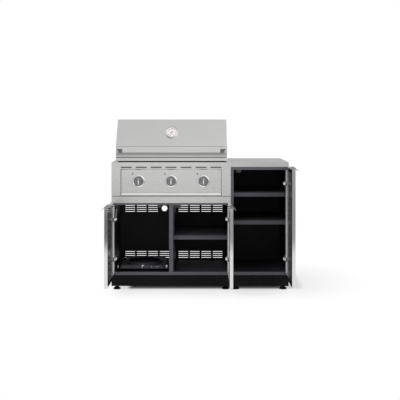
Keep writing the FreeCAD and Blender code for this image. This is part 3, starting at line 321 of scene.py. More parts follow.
def dial_enamel(name, colour):
    """Printed dial: satin enamel with the faintest mottling."""
    material, tree, shader = new_material(name)
    mottling = noise(tree, (260.0, 260.0, 260.0), detail=3.0)
    toned = mix_colours(tree, spread(tree, mottling, 0.0, 1.0), [c * 0.96 for c in colour], colour)
    tree.links.new(toned, shader.inputs["Base Color"])
    tree.links.new(spread(tree, mottling, 0.30, 0.40), shader.inputs["Roughness"])
    bump(tree, shader, mottling, 0.02, 0.00005)
    return material


def lens_glass(name):
    """Clear thermometer glass with a breath of surface haze."""
    material, tree, shader = new_material(name)
    haze = noise(tree, (120.0, 120.0, 120.0), detail=2.0)
    tree.links.new(spread(tree, haze, 0.0, 0.05), shader.inputs["Roughness"])
    shader.inputs["Base Color"].default_value = (1.0, 1.0, 1.0, 1.0)
    shader.inputs["Transmission Weight"].default_value = 1.0
    shader.inputs["IOR"].default_value = 1.45
    return material


STEEL = (0.66, 0.66, 0.65)
SLATE = (0.082, 0.079, 0.096)
SHELF_SLATE = (0.078, 0.075, 0.092)
# |X| where the outer side faces begin; the painted inner shade leaves them out.
OUTER_SIDE_X = (0.6212, 0.6217)
BACK_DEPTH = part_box("grill_cabinet_back")[1].y - FRONT_Y
M = {
    "steel_x": brushed_metal("brushed_steel_across", STEEL, 0.23, "X"),
    "steel_door": brushed_metal("brushed_steel_upright", (0.70, 0.70, 0.69), 0.085, "Z", streak=1.3),
    "steel_deck": brushed_metal("brushed_steel_deck", STEEL, 0.13, "X", streak=0.5),
    "steel_panel": brushed_metal("brushed_steel_panel", (0.72, 0.72, 0.71), 0.25, "X"),
    "steel_hood": brushed_metal("brushed_steel_hood", STEEL, 0.30, "X", streak=0.9),
    # A darker copy of the hood steel for the band under the handle: painted shadow.
    "steel_band_painted_shadow": brushed_metal("brushed_steel_band", (0.40, 0.40, 0.395), 0.30, "X", streak=0.9),
    # A lighter copy of the hood steel, on the handle bar and drip tray: the extra brightness is a painted
    # highlight.
    "steel_lip_painted_highlight": brushed_metal("bright_steel_lip", (0.76, 0.76, 0.75), 0.34, "X", streak=0.7),
    "steel_plain": heated_steel("plain_steel", (0.30, 0.30, 0.295), (0.26, 0.22, 0.17)),
    "liner": heated_steel("hood_inner_steel", (0.50, 0.50, 0.49), (0.43, 0.39, 0.33)),
    "chrome": polished_metal("polished_trim", (0.78, 0.78, 0.785), 0.10),
    # Chrome lighter than the trim chrome, on the knob and thermometer bezels: the extra brightness is a painted
    # highlight.
    "bezel": polished_metal("bezel_painted_highlight", (0.97, 0.97, 0.965), 0.16),
    "zinc": polished_metal("zinc_plate", (0.66, 0.66, 0.64), 0.24),
    "nickel": polished_metal("bright_nickel", (0.84, 0.84, 0.82), 0.22),
    # Light satin metal for the hinge-side liner folds: their brightness is a painted reflection.
    "hem_painted_reflection": polished_metal("hem_painted_reflection", (0.93, 0.93, 0.925), 0.45),
    "nylon": moulded_plastic("white_nylon", (0.90, 0.90, 0.885), 0.34),
    "knob_face": polished_metal("satin_knob", (0.26, 0.26, 0.26), 0.30),
    "knob_grip": polished_metal("bright_grip", (0.72, 0.72, 0.71), 0.22),
    "louvre": brushed_metal("louvre_steel", (0.40, 0.40, 0.395), 0.35, "X"),
    "dark_casting": powder_coat("dark_grey_casting", (0.10, 0.10, 0.10), 0.42, shine=0.35),
    "slate": powder_coat("slate_powder_coat", SLATE, 0.50),
    # Side panels: painted shade takes their inner faces down to 12% of the slate from 10 to 30 mm behind the
    # front.
    "slate_sides_painted_shade": powder_coat("slate_side_coat_painted_shade", SLATE, 0.50, behind=(0.010, 0.030, 0.12)),
    # Back panels: the near-black written here is painted shade on the inner face; the outer face is lifted 5.4
    # times to the slate.
    "back_coat_painted_shade": powder_coat("back_powder_coat_painted_shade", (0.0152, 0.0147, 0.0178), 0.52, shine=0.2,
                             behind=(BACK_DEPTH - 0.0008, BACK_DEPTH - 0.0003, 5.4)),
    # Shelves: painted shade takes them down to a fifth of their colour from 30 to 240 mm behind the front.
    "slate_shelf_painted_shade": powder_coat("slate_shelf_coat", SHELF_SLATE, 0.50, behind=(0.03, 0.24, 0.20)),
    # Cabinet floors: painted shade takes them down to half their colour from 100 to 350 mm behind the front.
    "slate_floor_painted_shade": powder_coat("slate_floor_coat", SHELF_SLATE, 0.50, behind=(0.10, 0.35, 0.50)),
    "inside": powder_coat("inner_powder_coat", (0.015, 0.015, 0.019), 0.52, shine=0.2),
    "black": powder_coat("black_powder_coat", (0.006, 0.006, 0.0065), 0.60, shine=0.08),
    "liner_coat": powder_coat("door_liner_coat", (0.078, 0.077, 0.086), 0.22, grit=0.4, shine=0.6),
    "plastic": moulded_plastic("black_moulding", (0.016, 0.016, 0.017), 0.45),
    "catch": moulded_plastic("grey_moulding", (0.035, 0.035, 0.038), 0.55),
    "dull_steel": polished_metal("dull_steel", (0.22, 0.22, 0.22), 0.38),
    # Door pulls in a darker copy of the stainless: painted shade.
    "pull_steel_painted_shade": brushed_metal("brushed_steel_pull_painted_shade", (0.42, 0.42, 0.415), 0.28, "X"),
    "cup_steel": polished_metal("cup_steel", (0.46, 0.46, 0.455), 0.35),
    # Dark steel: real on the catch poles and foot stems, painted shade on the strips in the hood's fold and at
    # the recess sides.
    "dark_steel_and_painted_shade": polished_metal("dark_steel_and_painted_shade", (0.07, 0.07, 0.07), 0.4),
    # Rubber: real on the feet and hood bumpers; painted shade as the strips under the hood lip, inside the tank
    # ring and over the thermometer bezel.
    "rubber_and_painted_shade": moulded_plastic("black_rubber", (0.004, 0.004, 0.004), 0.7, shine=0.12),
    "enamel": cast_enamel("grate_enamel", (0.035, 0.035, 0.037)),
    "brass": polished_metal("valve_brass", (0.62, 0.44, 0.19), 0.28),
    "dial": dial_enamel("dial_white", (0.80, 0.80, 0.78)),
    "ink": dial_enamel("dial_ink", (0.02, 0.02, 0.022)),
    "red": dial_enamel("needle_red_paint", (0.50, 0.03, 0.025)),
    "zone": dial_enamel("dial_zone_red", (0.80, 0.50, 0.51)),
    "glass": lens_glass("lens_glass"),
}

NODE_MATERIAL = {
    "grill_cabinet_sides": "slate_sides_painted_shade", "grill_cabinet_back": "back_coat_painted_shade",
    "grill_cabinet_floor": "slate_floor_painted_shade", "grill_cabinet_divider": "slate",
    "grill_cabinet_apron": "steel_panel",
    "side_cabinet_sides": "slate_sides_painted_shade", "side_cabinet_back": "back_coat_painted_shade",
    "side_cabinet_floor": "slate_floor_painted_shade", "side_cabinet_countertop": "steel_x",
    "cabinet_top_rails": "slate", "toe_kicks": "black",
    "cabinet_shelves": "slate_shelf_painted_shade", "shelf_pins": "zinc", "hinge_arms": "dull_steel",
    "magnetic_catches": "plastic", "tray_rails": "inside", "grill_firebox": "enamel",
    "grill_deck": "steel_deck", "grill_control_panel": "steel_panel", "knob_bezels": "chrome",
    "gas_manifold": "brass", "burners": "steel_plain", "flame_tamers": "steel_plain",
    "cooking_grates": "enamel", "hood_pivot_brackets": "steel_x", "hood_shell": "steel_hood",
    "hood_end_panels": "steel_hood", "hood_liner": "liner", "hood_handle_bar": "steel_lip_painted_highlight",
    "hood_handle_brackets": "dark_casting", "thermometer_case": "chrome",
    "thermometer_needle": "red", "drip_tray": "steel_lip_painted_highlight", "tank_tray": "slate",
}
for knob_name in KNOBS:
    NODE_MATERIAL[knob_name + "_knob"] = "knob_face"
    NODE_MATERIAL[knob_name + "_valve_stem"] = "brass"
for door_name in DOORS:
    NODE_MATERIAL[door_name + "_pan"] = "steel_door"
    NODE_MATERIAL[door_name + "_liner"] = "liner_coat"
    NODE_MATERIAL[door_name + "_pull"] = "pull_steel_painted_shade"
    NODE_MATERIAL[door_name + "_hinge_cups"] = "cup_steel"
for foot_number in range(1, 9):
    NODE_MATERIAL["levelling_foot_" + str(foot_number)] = "rubber_and_painted_shade"


def dress_frame():
    """Gives every CAD node its own finish."""
    for name, node in NODES.items():
        finish = M[NODE_MATERIAL[name]]
        node.data.materials.clear()
        node.data.materials.append(finish)


class Builder:
    """Collects shapes in the part's frame and turns them into one piece."""

    def __init__(self):
        self.mesh = bmesh.new()

    def ring(self, centre, across, other, radius, steps, socket):
        """A loop of points round a centre, or one point where the radius is nothing."""
        if radius <= 0:
            return [self.mesh.verts.new(centre)]
        points = []
        for i in range(steps):
            angle = 2 * math.pi * i / steps
            size = radius
            if socket:
                sixth = math.pi / 3
                size = radius * math.cos(sixth / 2) / math.cos(angle % sixth - sixth / 2)
            offset = across * math.cos(angle) + other * math.sin(angle)
            points.append(self.mesh.verts.new(centre + offset * size))
        return points

    def lathe(self, origin, axis, profile, steps=32):
        """Turns a profile of (radius, height) in mm about an axis. A third value True makes a hex ring."""
        axis = Vector(axis).normalized()
        across = axis.orthogonal().normalized()
        other = axis.cross(across)
        rings = []
        for point in profile:
            centre = Vector(origin) + axis * (point[1] * MM)
            socket = len(point) > 2 and point[2]
            rings.append(self.ring(centre, across, other, point[0] * MM, steps, socket))
        for first, second in zip(rings, rings[1:]):
            self.bridge(first, second, steps)

    def bridge(self, first, second, steps):
        """Faces between two neighbouring rings of a lathe."""
        for i in range(steps):
            j = (i + 1) % steps
            if len(first) == 1 and len(second) > 1:
                self.mesh.faces.new((first[0], second[j], second[i]))
            elif len(second) == 1 and len(first) > 1:
                self.mesh.faces.new((first[i], first[j], second[0]))
            elif len(first) > 1:
                self.mesh.faces.new((first[i], first[j], second[j], second[i]))

    def prism(self, origin, u, v, outline, length, round_mm=0.0, segments=2):
        """An outline in mm along u and v, pushed along u x v by a length and softened at its edges."""
        u, v = Vector(u).normalized(), Vector(v).normalized()
        w = u.cross(v)
        origin = Vector(origin)
        base = [self.mesh.verts.new(origin + u * (a * MM) + v * (b * MM)) for a, b in outline]
        top = [self.mesh.verts.new(vertex.co + w * (length * MM)) for vertex in base]
        faces = [self.mesh.faces.new(list(reversed(base))), self.mesh.faces.new(top)]
        for i in range(len(base)):
            j = (i + 1) % len(base)
            faces.append(self.mesh.faces.new((base[i], base[j], top[j], top[i])))
        if round_mm:
            edges = list({edge for face in faces for edge in face.edges})
            sharp = [edge for edge in edges if edge.calc_face_angle(0.0) > math.radians(25)]
            bmesh.ops.bevel(self.mesh, geom=sharp, offset=round_mm * MM, segments=segments,
                            profile=0.6, affect="EDGES", clamp_overlap=True)

    def slab(self, low, high, round_mm=0.5, segments=2):
        """A softened block between two corners, in metres."""
        size = (Vector(high) - Vector(low)) / MM
        outline = [(0, 0), (size.x, 0), (size.x, size.y), (0, size.y)]
        self.prism(low, (1, 0, 0), (0, 1, 0), outline, size.z, round_mm, segments)

    def button_screw(self, seat, normal, radius):
        """A button-head screw with a hex socket, radius in mm."""
        self.lathe(seat, normal, [
            (radius, 0.0), (radius, 0.18 * radius), (0.94 * radius, 0.34 * radius),
            (0.78 * radius, 0.50 * radius), (0.56 * radius, 0.60 * radius),
            (0.46 * radius, 0.62 * radius, True), (0.44 * radius, 0.20 * radius, True),
            (0.0, 0.16 * radius),
        ], 24)

    def rivet(self, seat, normal, radius):
        """A domed rivet head with its mandrel mark, radius in mm."""
        self.lathe(seat, normal, [
            (radius, 0.0), (0.97 * radius, 0.20 * radius), (0.82 * radius, 0.40 * radius),
            (0.56 * radius, 0.54 * radius), (0.30 * radius, 0.58 * radius),
            (0.27 * radius, 0.46 * radius), (0.0, 0.44 * radius),
        ], 20)

    def piece(self, name, material, body, slot, sharp_angle=35.0):
        """Turns what was collected into one riding piece."""
        bmesh.ops.remove_doubles(self.mesh, verts=self.mesh.verts, dist=1e-7)
        bmesh.ops.recalc_face_normals(self.mesh, faces=self.mesh.faces)
        data = bpy.data.meshes.new(name)
        self.mesh.to_mesh(data)
        self.mesh.free()
        data.materials.append(M[material])
        for polygon in data.polygons:
            polygon.use_smooth = True
        data.set_sharp_from_angle(angle=math.radians(sharp_angle))
        obj = new_object(name, data)
        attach(obj, body)
        return obj


def stadium(width, length, steps):
    """A bar outline with round ends, in mm, its long side along the second direction."""
    half, straight = width / 2, length / 2 - width / 2
    points = []
    for end in (1, -1):
        for i in range(steps + 1):
            angle = math.pi * i / steps + (0 if end > 0 else math.pi)
            points.append((half * math.cos(angle), half * math.sin(angle) + end * straight))
    return points


# Knobs
KNOB_GRIP_WIDTH = 12.0
KNOB_GRIP_LENGTH = 46.0
KNOB_GRIP_RISE = 14.0
KNOB_GRIP_STEPS = 6
KNOB_FACE_SINK = 2.0


def grip_slope(height):
    """Share of the grip's rise at a height in mm: full in its upper half, falling towards its lower end."""
    return 1.0 if height > 0 else 1.0 + 0.018 * height


def knob_pieces(name):
    """Satin knob with a rounded rim and groove, its grip bar and the pointer line on it."""
    low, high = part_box(name + "_knob")
    centre = (low + high) / 2
    back = Vector((centre.x, high.y, centre.z))
    radius = (high.x - low.x) / 2 / MM
    depth = (high.y - low.y) / MM - KNOB_GRIP_RISE
    toward = (0, -1, 0)
    body = Builder()
    body.lathe(back, toward, [
        (5.0, 0.0), (radius - 1.2, 0.0), (radius - 0.2, 0.8), (radius, 2.0), (radius, depth - 8.6),
        (radius - 0.7, depth - 8.1), (radius - 0.7, depth - 7.4), (radius, depth - 6.9),
        (radius - 0.2, depth - 4.6), (radius - 1.0, depth - 2.4), (radius - 2.4, depth - 0.8),
        (radius - 4.2, depth - 0.1), (radius - 5.6, depth), (radius - 7.0, depth - 0.5),
        (0.5 * radius, depth - 1.3), (0.0, depth - 1.5),
    ], 64)
    whole = body.piece(name + "_knob_body", "knob_face", name + "_knob", "polished_stainless", 50.0)
    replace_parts(whole, name + "_knob")
    face = back + Vector(toward) * ((depth - KNOB_FACE_SINK) * MM)
    grip = Builder()
    levels = [(0.0, 1.14, 1.02), (3.0, 1.04, 1.0), (9.0, 0.96, 0.985), (13.0, 0.90, 0.97),
              (15.0, 0.80, 0.95), (16.0, 0.62, 0.91)]
    loops = []
    for rise, wide, long in levels:
        outline = stadium(KNOB_GRIP_WIDTH * wide, KNOB_GRIP_LENGTH * long, KNOB_GRIP_STEPS)
        loops.append([grip.mesh.verts.new(face + Vector((a * MM, -rise * MM * grip_slope(b), b * MM)))
                      for a, b in outline])
    for first, second in zip(loops, loops[1:]):
        grip.bridge(first, second, len(first))
    bmesh.ops.triangulate(grip.mesh, faces=[grip.mesh.faces.new(loops[-1])])
    grip.piece(name + "_knob_grip", "knob_grip", name + "_knob", "polished_stainless", 50.0)
    line = Builder()
    top = face + Vector((0, -levels[-1][0] * MM, 0))
    line.prism(top + Vector((-0.9 * MM, 0.1 * MM, 6 * MM)), (1, 0, 0), (0, 0, 1),
               [(0, 0), (1.8, 0), (1.8, 13.5), (0, 13.5)], 0.35, 0.1, 1)
    line.piece(name + "_knob_pointer", "ink", name + "_knob", "black_plastic")


def rolled_edge(outer, start, top, roll):
    """Profile of a rim in mm: straight up to a height, then rolled inwards to its top."""
    profile = [(outer, 0.0), (outer, start)]
    for i in range(13):
        angle = math.pi / 2 * i / 12
        profile.append((outer - roll * (1 - math.cos(angle)), start + (top - start) * math.sin(angle)))
    return profile


def knob_bezel_pieces():
    """Polished rings round the knobs, rolled over at the outside."""
    low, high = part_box("knob_bezels")
    height = (high.y - low.y) / MM
    outer = (high.z - low.z) / 2 / MM
    for name in KNOBS:
        knob_low, knob_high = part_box(name + "_knob")
        middle = (knob_low + knob_high) / 2
        seat = Vector((middle.x, high.y, middle.z))
        ring = Builder()
        inner = outer - 9.0
        profile = rolled_edge(outer, 0.8, height, 6.8)
        profile += [(inner + 1.2, height - 0.15), (inner + 0.4, height - 0.8), (inner, height - 2.0),
                    (inner, 0.0)]
        ring.lathe(seat, (0, -1, 0), profile, 72)
        piece = ring.piece(name + "_knob_bezel_ring", "bezel", "cabinet", "polished_stainless", 60.0)
        if name == "left":
            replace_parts(piece, "knob_bezels")


def burner_marks():
    """Small marks up and left of each knob: a flame over three rings, the one of its burner filled in."""
    face_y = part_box("knob_bezels")[1].y
    mark_x, mark_z, pitch = -43.5, 44.0, 5.0
    for index, name in enumerate(KNOBS):
        knob_low, knob_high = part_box(name + "_knob")
        middle = (knob_low + knob_high) / 2
        marks = Builder()
        for place in range(3):
            spot = Vector((middle.x + (mark_x + pitch * (place - 1)) * MM, face_y, middle.z + mark_z * MM))
            if place == index:
                profile = [(2.0, 0.0), (2.0, 0.12), (0.0, 0.16)]
            else:
                profile = [(2.0, 0.0), (2.0, 0.12), (1.3, 0.12), (1.3, 0.0)]
            marks.lathe(spot, (0, -1, 0), profile, 24)
        flame = Vector((middle.x + mark_x * MM, face_y, middle.z + (mark_z + 3.6) * MM))
        marks.prism(flame, (1, 0, 0), (0, 0, 1), [
            (-1.6, 0), (1.6, 0), (3.0, 2.4), (3.2, 5.0), (2.2, 8.4), (1.6, 6.6), (0.2, 13.0), (-1.8, 9.0),
            (-3.2, 5.4), (-3.0, 2.4),
        ], 0.12)
        marks.piece(name + "_burner_mark", "ink", "cabinet", "black_plastic")


# Thermometer
DIAL_TICKS = 25
DIAL_SWEEP = 240.0
DIAL_START = math.radians(225.0)
GAUGE_RIM = 12.0


def gauge_axes():
    """Middle of the thermometer, across, up the slope, outwards, and its radius in mm."""
    low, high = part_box("thermometer_case")
    joint = joint_named("thermometer_needle_turn")
    inward = Vector(joint["axis"]).normalized()
    outward = -inward
    across = Vector((1, 0, 0))
    up = across.cross(inward).normalized()
    if up.z < 0:
        up = -up
    return Vector(joint["pos_m"]), across, up, outward, (high.x - low.x) / 2 / MM


def arc_points(radius, turns):
    """Points in mm on a circle, at angles in degrees from across towards up."""
    return [(radius * math.cos(math.radians(turn)), radius * math.sin(math.radians(turn))) for turn in turns]


def thermometer_pieces():
    """Rolled bezel with a black arc over its top as painted shade, dial with its zone, scale and numbers,
    and the glass.
    """
    centre, across, up, outward, radius = gauge_axes()
    rim = GAUGE_RIM
    opening = radius - 12.5
    bezel = Builder()
    profile = rolled_edge(radius, 3.0, rim, 8.6)
    profile += [(radius - 10.4, rim - 0.3), (radius - 11.8, rim - 1.2), (opening, rim - 2.6), (opening, 5.6)]
    bezel.lathe(centre, outward, profile, 96)
    bezel.piece("thermometer_bezel", "bezel", "hood", "polished_stainless", 60.0)
    # Painted shade: a black arc outside the bezel's top, standing for the shadow gap there.
    painted_shade_arc_builder = Builder()
    turns = range(30, 151, 5)
    arch = arc_points(radius + 2.4, turns) + arc_points(radius + 0.1, reversed(turns))
    painted_shade_arc_builder.prism(centre + outward * (0.05 * MM), across, up, arch, 11.0, 0.3, 1)
    painted_shade_arc_builder.piece("thermometer_painted_shade_arc", "rubber_and_painted_shade", "hood", "black_plastic")
    dial = Builder()
    face = centre + outward * (6.05 * MM)
    dial.lathe(face, outward, [(radius - 5.2, 0.0), (radius - 5.4, 0.35), (radius - 9.0, 0.5),
                               (2.2, 0.5), (2.2, 0.1)], 72)
    dial.piece("thermometer_dial", "dial", "hood", "polished_stainless", 60.0)
    surface = centre + outward * (6.55 * MM)
    zone = Builder()
    turns = [7.5 * i for i in range(25)]
    zone.prism(surface, across, up, arc_points(13.5, turns) + arc_points(4.5, reversed(turns)), 0.06)
    zone.piece("thermometer_zone", "zone", "hood", "polished_stainless")
    scale = Builder()
    for i in range(DIAL_TICKS):
        angle = DIAL_START - math.radians(DIAL_SWEEP) * i / (DIAL_TICKS - 1)
        along = across * math.cos(angle) + up * math.sin(angle)
        side = outward.cross(along)
        major = i % 4 == 0
        inner, width = (opening - 6.4, 1.3) if major else (opening - 4.2, 0.7)
        length = opening - 1.8 - inner
        origin = surface + along * (inner * MM) - side * (width / 2 * MM)
        scale.prism(origin, along, side, [(0, 0), (length, 0), (length, width), (0, width)], 0.1)
    scale.piece("thermometer_scale", "ink", "hood", "polished_stainless")
    for number in range(7):
        angle = DIAL_START - math.radians(DIAL_SWEEP) * number / 6
        dial_number(number * 50 + 50, surface, across, up, outward, angle, opening - 10.0)
    glass = Builder()
    glass.lathe(centre, outward, [
        (opening - 0.1, rim - 2.5), (opening - 0.3, rim - 1.6), (0.6 * opening, rim - 0.75),
        (0.3 * opening, rim - 0.4), (0.0, rim - 0.3), (0.0, rim - 1.7), (0.3 * opening, rim - 1.8),
        (0.6 * opening, rim - 2.15), (opening - 0.1, rim - 2.9), (opening - 0.1, rim - 2.5),
    ], 64)
    glass.piece("thermometer_glass", "glass", "hood", "polished_stainless", 60.0)


def dial_number(value, surface, across, up, outward, angle, radius):
    """One number on the dial, as a thin printed mesh."""
    curve = bpy.data.curves.new("number_" + str(value), "FONT")
    curve.body = str(value)
    curve.size = 4.2 * MM
    curve.align_x = "CENTER"
    curve.align_y = "CENTER"
    curve.extrude = 0.05 * MM
    holder = new_object("number_" + str(value), curve)
    bpy.context.view_layer.update()
    data = bpy.data.meshes.new_from_object(holder)
    bpy.data.objects.remove(holder)
    place = surface + (across * math.cos(angle) + up * math.sin(angle)) * (radius * MM)
    for vertex in data.vertices:
        vertex.co = place + across * vertex.co.x + up * vertex.co.y + outward * (vertex.co.z + 0.05 * MM)
    data.materials.clear()
    data.materials.append(M["ink"])
    obj = new_object("thermometer_number_" + str(value), data)
    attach(obj, "hood")


# Control panel: its recess and louvre slots, in mm
RECESS_X = (-557.5, 151.5)
RECESS_TOP = 849.5
RECESS_RISE = 24.4
VENT_COUNT = 7
VENT_MIDDLE = -203.0
VENT_PITCH = 105.0
VENT_LENGTH = 78.0
VENT_HEIGHT = 859.5


def panel_trim():
    """Slanted fold over the recess, dark strips down its sides as painted shade, and the louvre blades
    pressed in behind the slots.
    """
    fold = Builder()
    corner = Vector((RECESS_X[0] * MM, FRONT_Y, RECESS_TOP * MM))
    fold.prism(corner, (0, 1, 0), (0, 0, 1), [(0.4, -0.02), (12.0, -0.02), (12.0, -7.6), (11.4, -7.6)],
               RECESS_X[1] - RECESS_X[0])
    fold.piece("recess_top_fold", "steel_x", "cabinet", "brushed_stainless", 20.0)
    # Painted shade: dark strips down the sides of the recess.
    seams = Builder()
    floor_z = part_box("grill_control_panel")[0].z + RECESS_RISE * MM
    for x in (RECESS_X[0] + 0.1, RECESS_X[1] - 2.0):
        seams.slab(Vector((x * MM, FRONT_Y + 0.4 * MM, floor_z)),
                   Vector(((x + 1.9) * MM, FRONT_Y + 1.2 * MM, (RECESS_TOP - 0.5) * MM)), 0.2, 1)
    seams.piece("recess_side_painted_shade", "dark_steel_and_painted_shade", "cabinet", "brushed_stainless", 20.0)
    blades = Builder()
    for i in range(VENT_COUNT):
        x = VENT_MIDDLE + VENT_PITCH * (i - VENT_COUNT // 2) - VENT_LENGTH / 2
        blades.prism(Vector((x * MM, FRONT_Y, VENT_HEIGHT * MM)), (0, 1, 0), (0, 0, 1),
                     [(1.45, -6.4), (2.6, -6.4), (9.8, 5.6), (9.0, 6.2), (1.45, -5.2)], VENT_LENGTH, 0.2, 1)
    blades.piece("vent_blades", "louvre", "cabinet", "brushed_stainless", 20.0)


# Hood, in metres: its fold behind the front and above the floor, and the band over it, a darker steel strip
# that paints the handle's shadow
HOOD_FOLD_DEPTH = 0.0691
HOOD_FOLD_Z = 0.930
HOOD_PAINTED_SHADOW_Z = (0.9420, 0.9630)


def hood_lip_pieces():
    """Painted shade on the hood's lower front: a dark strip in the crease under the fold, a band of darker
    steel over it for the handle's shadow, and a black strip on the lip's lower edge for the shadow in the gap
    under it.
    """
    low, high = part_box("hood_shell")
    ridge = Vector((low.x + 0.2 * MM, FRONT_Y + HOOD_FOLD_DEPTH, HOOD_FOLD_Z))
    # Painted shade: a dark strip standing for the shade in the crease under the fold.
    seam = Builder()
    seam.prism(ridge, (0, 1, 0), (0, 0, 1), [(-0.15, -0.05), (0.6, -0.05), (0.6, -4.6), (-1.8, -4.6)],
               (high.x - low.x) / MM - 0.4)
    seam.piece("hood_fold_painted_shade", "dark_steel_and_painted_shade", "hood", "brushed_stainless", 20.0)
    # Painted shadow: the handle's shadow on the hood, as a band of darker steel.
    band = Builder()
    band.slab(Vector((low.x + 1.5 * MM, ridge.y - 2.9 * MM, HOOD_PAINTED_SHADOW_Z[0])),
              Vector((high.x - 1.5 * MM, ridge.y - 2.3 * MM, HOOD_PAINTED_SHADOW_Z[1])), 0.2, 1)
    band.piece("hood_handle_painted_shadow_band", "steel_band_painted_shadow", "hood", "brushed_stainless", 20.0)
    # Painted shadow: a black strip on the lip's lower edge for the shadow in the gap under the hood.
    trim = Builder()
    trim.slab(Vector((low.x + 1.5 * MM, FRONT_Y + 58.6 * MM, low.z + 0.1 * MM)),
              Vector((high.x - 1.5 * MM, FRONT_Y + 59.4 * MM, low.z + 2.0 * MM)), 0.2, 1)
    trim.piece("hood_lip_painted_shadow_gap", "rubber_and_painted_shade", "hood", "black_plastic", 20.0)


def hood_bumpers():
    """Rubber studs between the hood's lip and the deck."""
    hood_low, hood_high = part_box("hood_shell")
    deck_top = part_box("grill_deck")[1].z
    gap = (hood_low.z - deck_top) / MM
    lip_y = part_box("hood_end_panels")[0].y + 5 * MM
    studs = Builder()
    inset = 30 * MM
    for x in (hood_low.x + inset, hood_high.x - inset):
        seat = Vector((x, lip_y, deck_top))
        studs.lathe(seat, (0, 0, 1), [(0.0, 0.02), (6.5, 0.02), (6.5, 1.2), (5.4, 1.8), (5.0, gap - 1.4),
                                      (4.2, gap - 0.5), (2.6, gap - 0.1), (0.0, gap - 0.05)], 28)
    studs.piece("hood_bumpers", "rubber_and_painted_shade", "cabinet", "black_plastic")


def hinge_screws():
    """Two fixing screws and one adjusting screw on every hinge plate."""
    screws = Builder()
    for name, (side, heights) in DOORS.items():
        pivot = Vector(joint_named(name + "_hinge")["pos_m"])
        for z in heights:
            plate_x = pivot.x + side * 17.5 * MM
            for rise in (-13.5, 13.5):
                seat = Vector((plate_x, FRONT_Y + 30 * MM, (z + rise) * MM))
                screws.button_screw(seat, (side, 0, 0), 3.6)
            seat = Vector((pivot.x + side * 21.5 * MM, FRONT_Y + 36 * MM, z * MM))
            screws.button_screw(seat, (side, 0, 0), 3.0)
    screws.piece("hinge_plate_screws", "zinc", "cabinet", "bright_steel")


def door_hem_strips():
    """Folded edge of every liner window on its hinge side, between the hinges, in a light satin metal: the fold
    is real, its brightness a painted reflection.
    """
    for name, (side, heights) in DOORS.items():
        pivot = Vector(joint_named(name + "_hinge")["pos_m"])
        low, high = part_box(name + "_pan")
        ends = [low.z / MM + 26]
        for z in heights:
            ends += [z - 14, z + 14]
        ends.append(high.z / MM - 26)
        strips = Builder()
        for bottom, top in zip(ends[::2], ends[1::2]):
            x = sorted((pivot.x + side * 7.2 * MM, pivot.x + side * 14.8 * MM))
            strips.slab(Vector((x[0], pivot.y - 17.7 * MM, bottom * MM)),
                        Vector((x[1], pivot.y - 17.02 * MM, top * MM)), 0.3, 2)
        strips.piece(name + "_hem_painted_reflection_strips", "hem_painted_reflection", name, "polished_stainless")


def hinge_dampers():
    """White nylon soft-close damper on the inner side of every hinge arm, and a cap before its hook."""
    dampers = Builder()
    for low, high in islands(NODES["hinge_arms"]):
        middle_z = (low.z + high.z) / 2
        inner_x, way = (high.x, 1) if low.x < -0.5 else (low.x, -1)
        x = sorted((inner_x - way * 3.8 * MM, inner_x + way * 7 * MM))
        dampers.slab(Vector((x[0], FRONT_Y - 1 * MM, middle_z - 8 * MM)),
                     Vector((x[1], FRONT_Y + 14 * MM, middle_z + 8 * MM)), 2.4, 3)
        x = sorted((inner_x - way * 7.5 * MM, inner_x + way * 3.5 * MM))
        hook_y = FRONT_Y - 19.5 * MM
        dampers.slab(Vector((x[0], hook_y - 3.3 * MM, middle_z - 7.6 * MM)),
                     Vector((x[1], hook_y, middle_z + 7.6 * MM)), 1.4, 3)
    dampers.piece("hinge_dampers", "nylon", "cabinet", "black_plastic")


def catch_pieces():
    """Magnetic catches as softened mouldings with a steel pole plate in the face."""
    blocks, poles = Builder(), Builder()
    for low, high in islands(NODES["magnetic_catches"]):
        blocks.slab(low + Vector((0, 1.0 * MM, 0)), high, 2.2, 3)
        poles.slab(low + Vector((3 * MM, 0, 5 * MM)),
                   Vector((high.x - 3 * MM, low.y + 4 * MM, high.z - 5 * MM)), 0.4, 1)
    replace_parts(blocks.piece("catch_mouldings", "catch", "cabinet", "black_plastic"), "magnetic_catches")
    poles.piece("catch_poles", "dark_steel_and_painted_shade", "cabinet", "bright_steel")


def islands(node):
    """Boxes (low, high) of a node's separate solids."""
    mesh = bmesh.new()
    mesh.from_mesh(node.data)
    bmesh.ops.remove_doubles(mesh, verts=mesh.verts, dist=1e-6)
    left = set(mesh.verts)
    boxes = []
    while left:
        stack = [left.pop()]
        found = list(stack)
        while stack:
            for edge in stack.pop().link_edges:
                for vertex in edge.verts:
                    if vertex in left:
                        left.discard(vertex)
                        stack.append(vertex)
                        found.append(vertex)
        low = Vector([min(v.co[i] for v in found) for i in range(3)])
        high = Vector([max(v.co[i] for v in found) for i in range(3)])
        boxes.append((low, high))
    mesh.free()
    return sorted(boxes, key=lambda box: (round(box[0].x, 4), round(box[0].z, 4)))


# Tank tray: middle of its hole (X, and behind the front) and its latch in metres, its lip screws in mm
TRAY_HOLE_X = -0.41375
TRAY_HOLE_DEPTH = 0.336
TRAY_LATCH_X = -0.4128
TRAY_LIP_SCREWS = (-349.8, -307.5)
TANK_RAILS_BELOW = 0.2


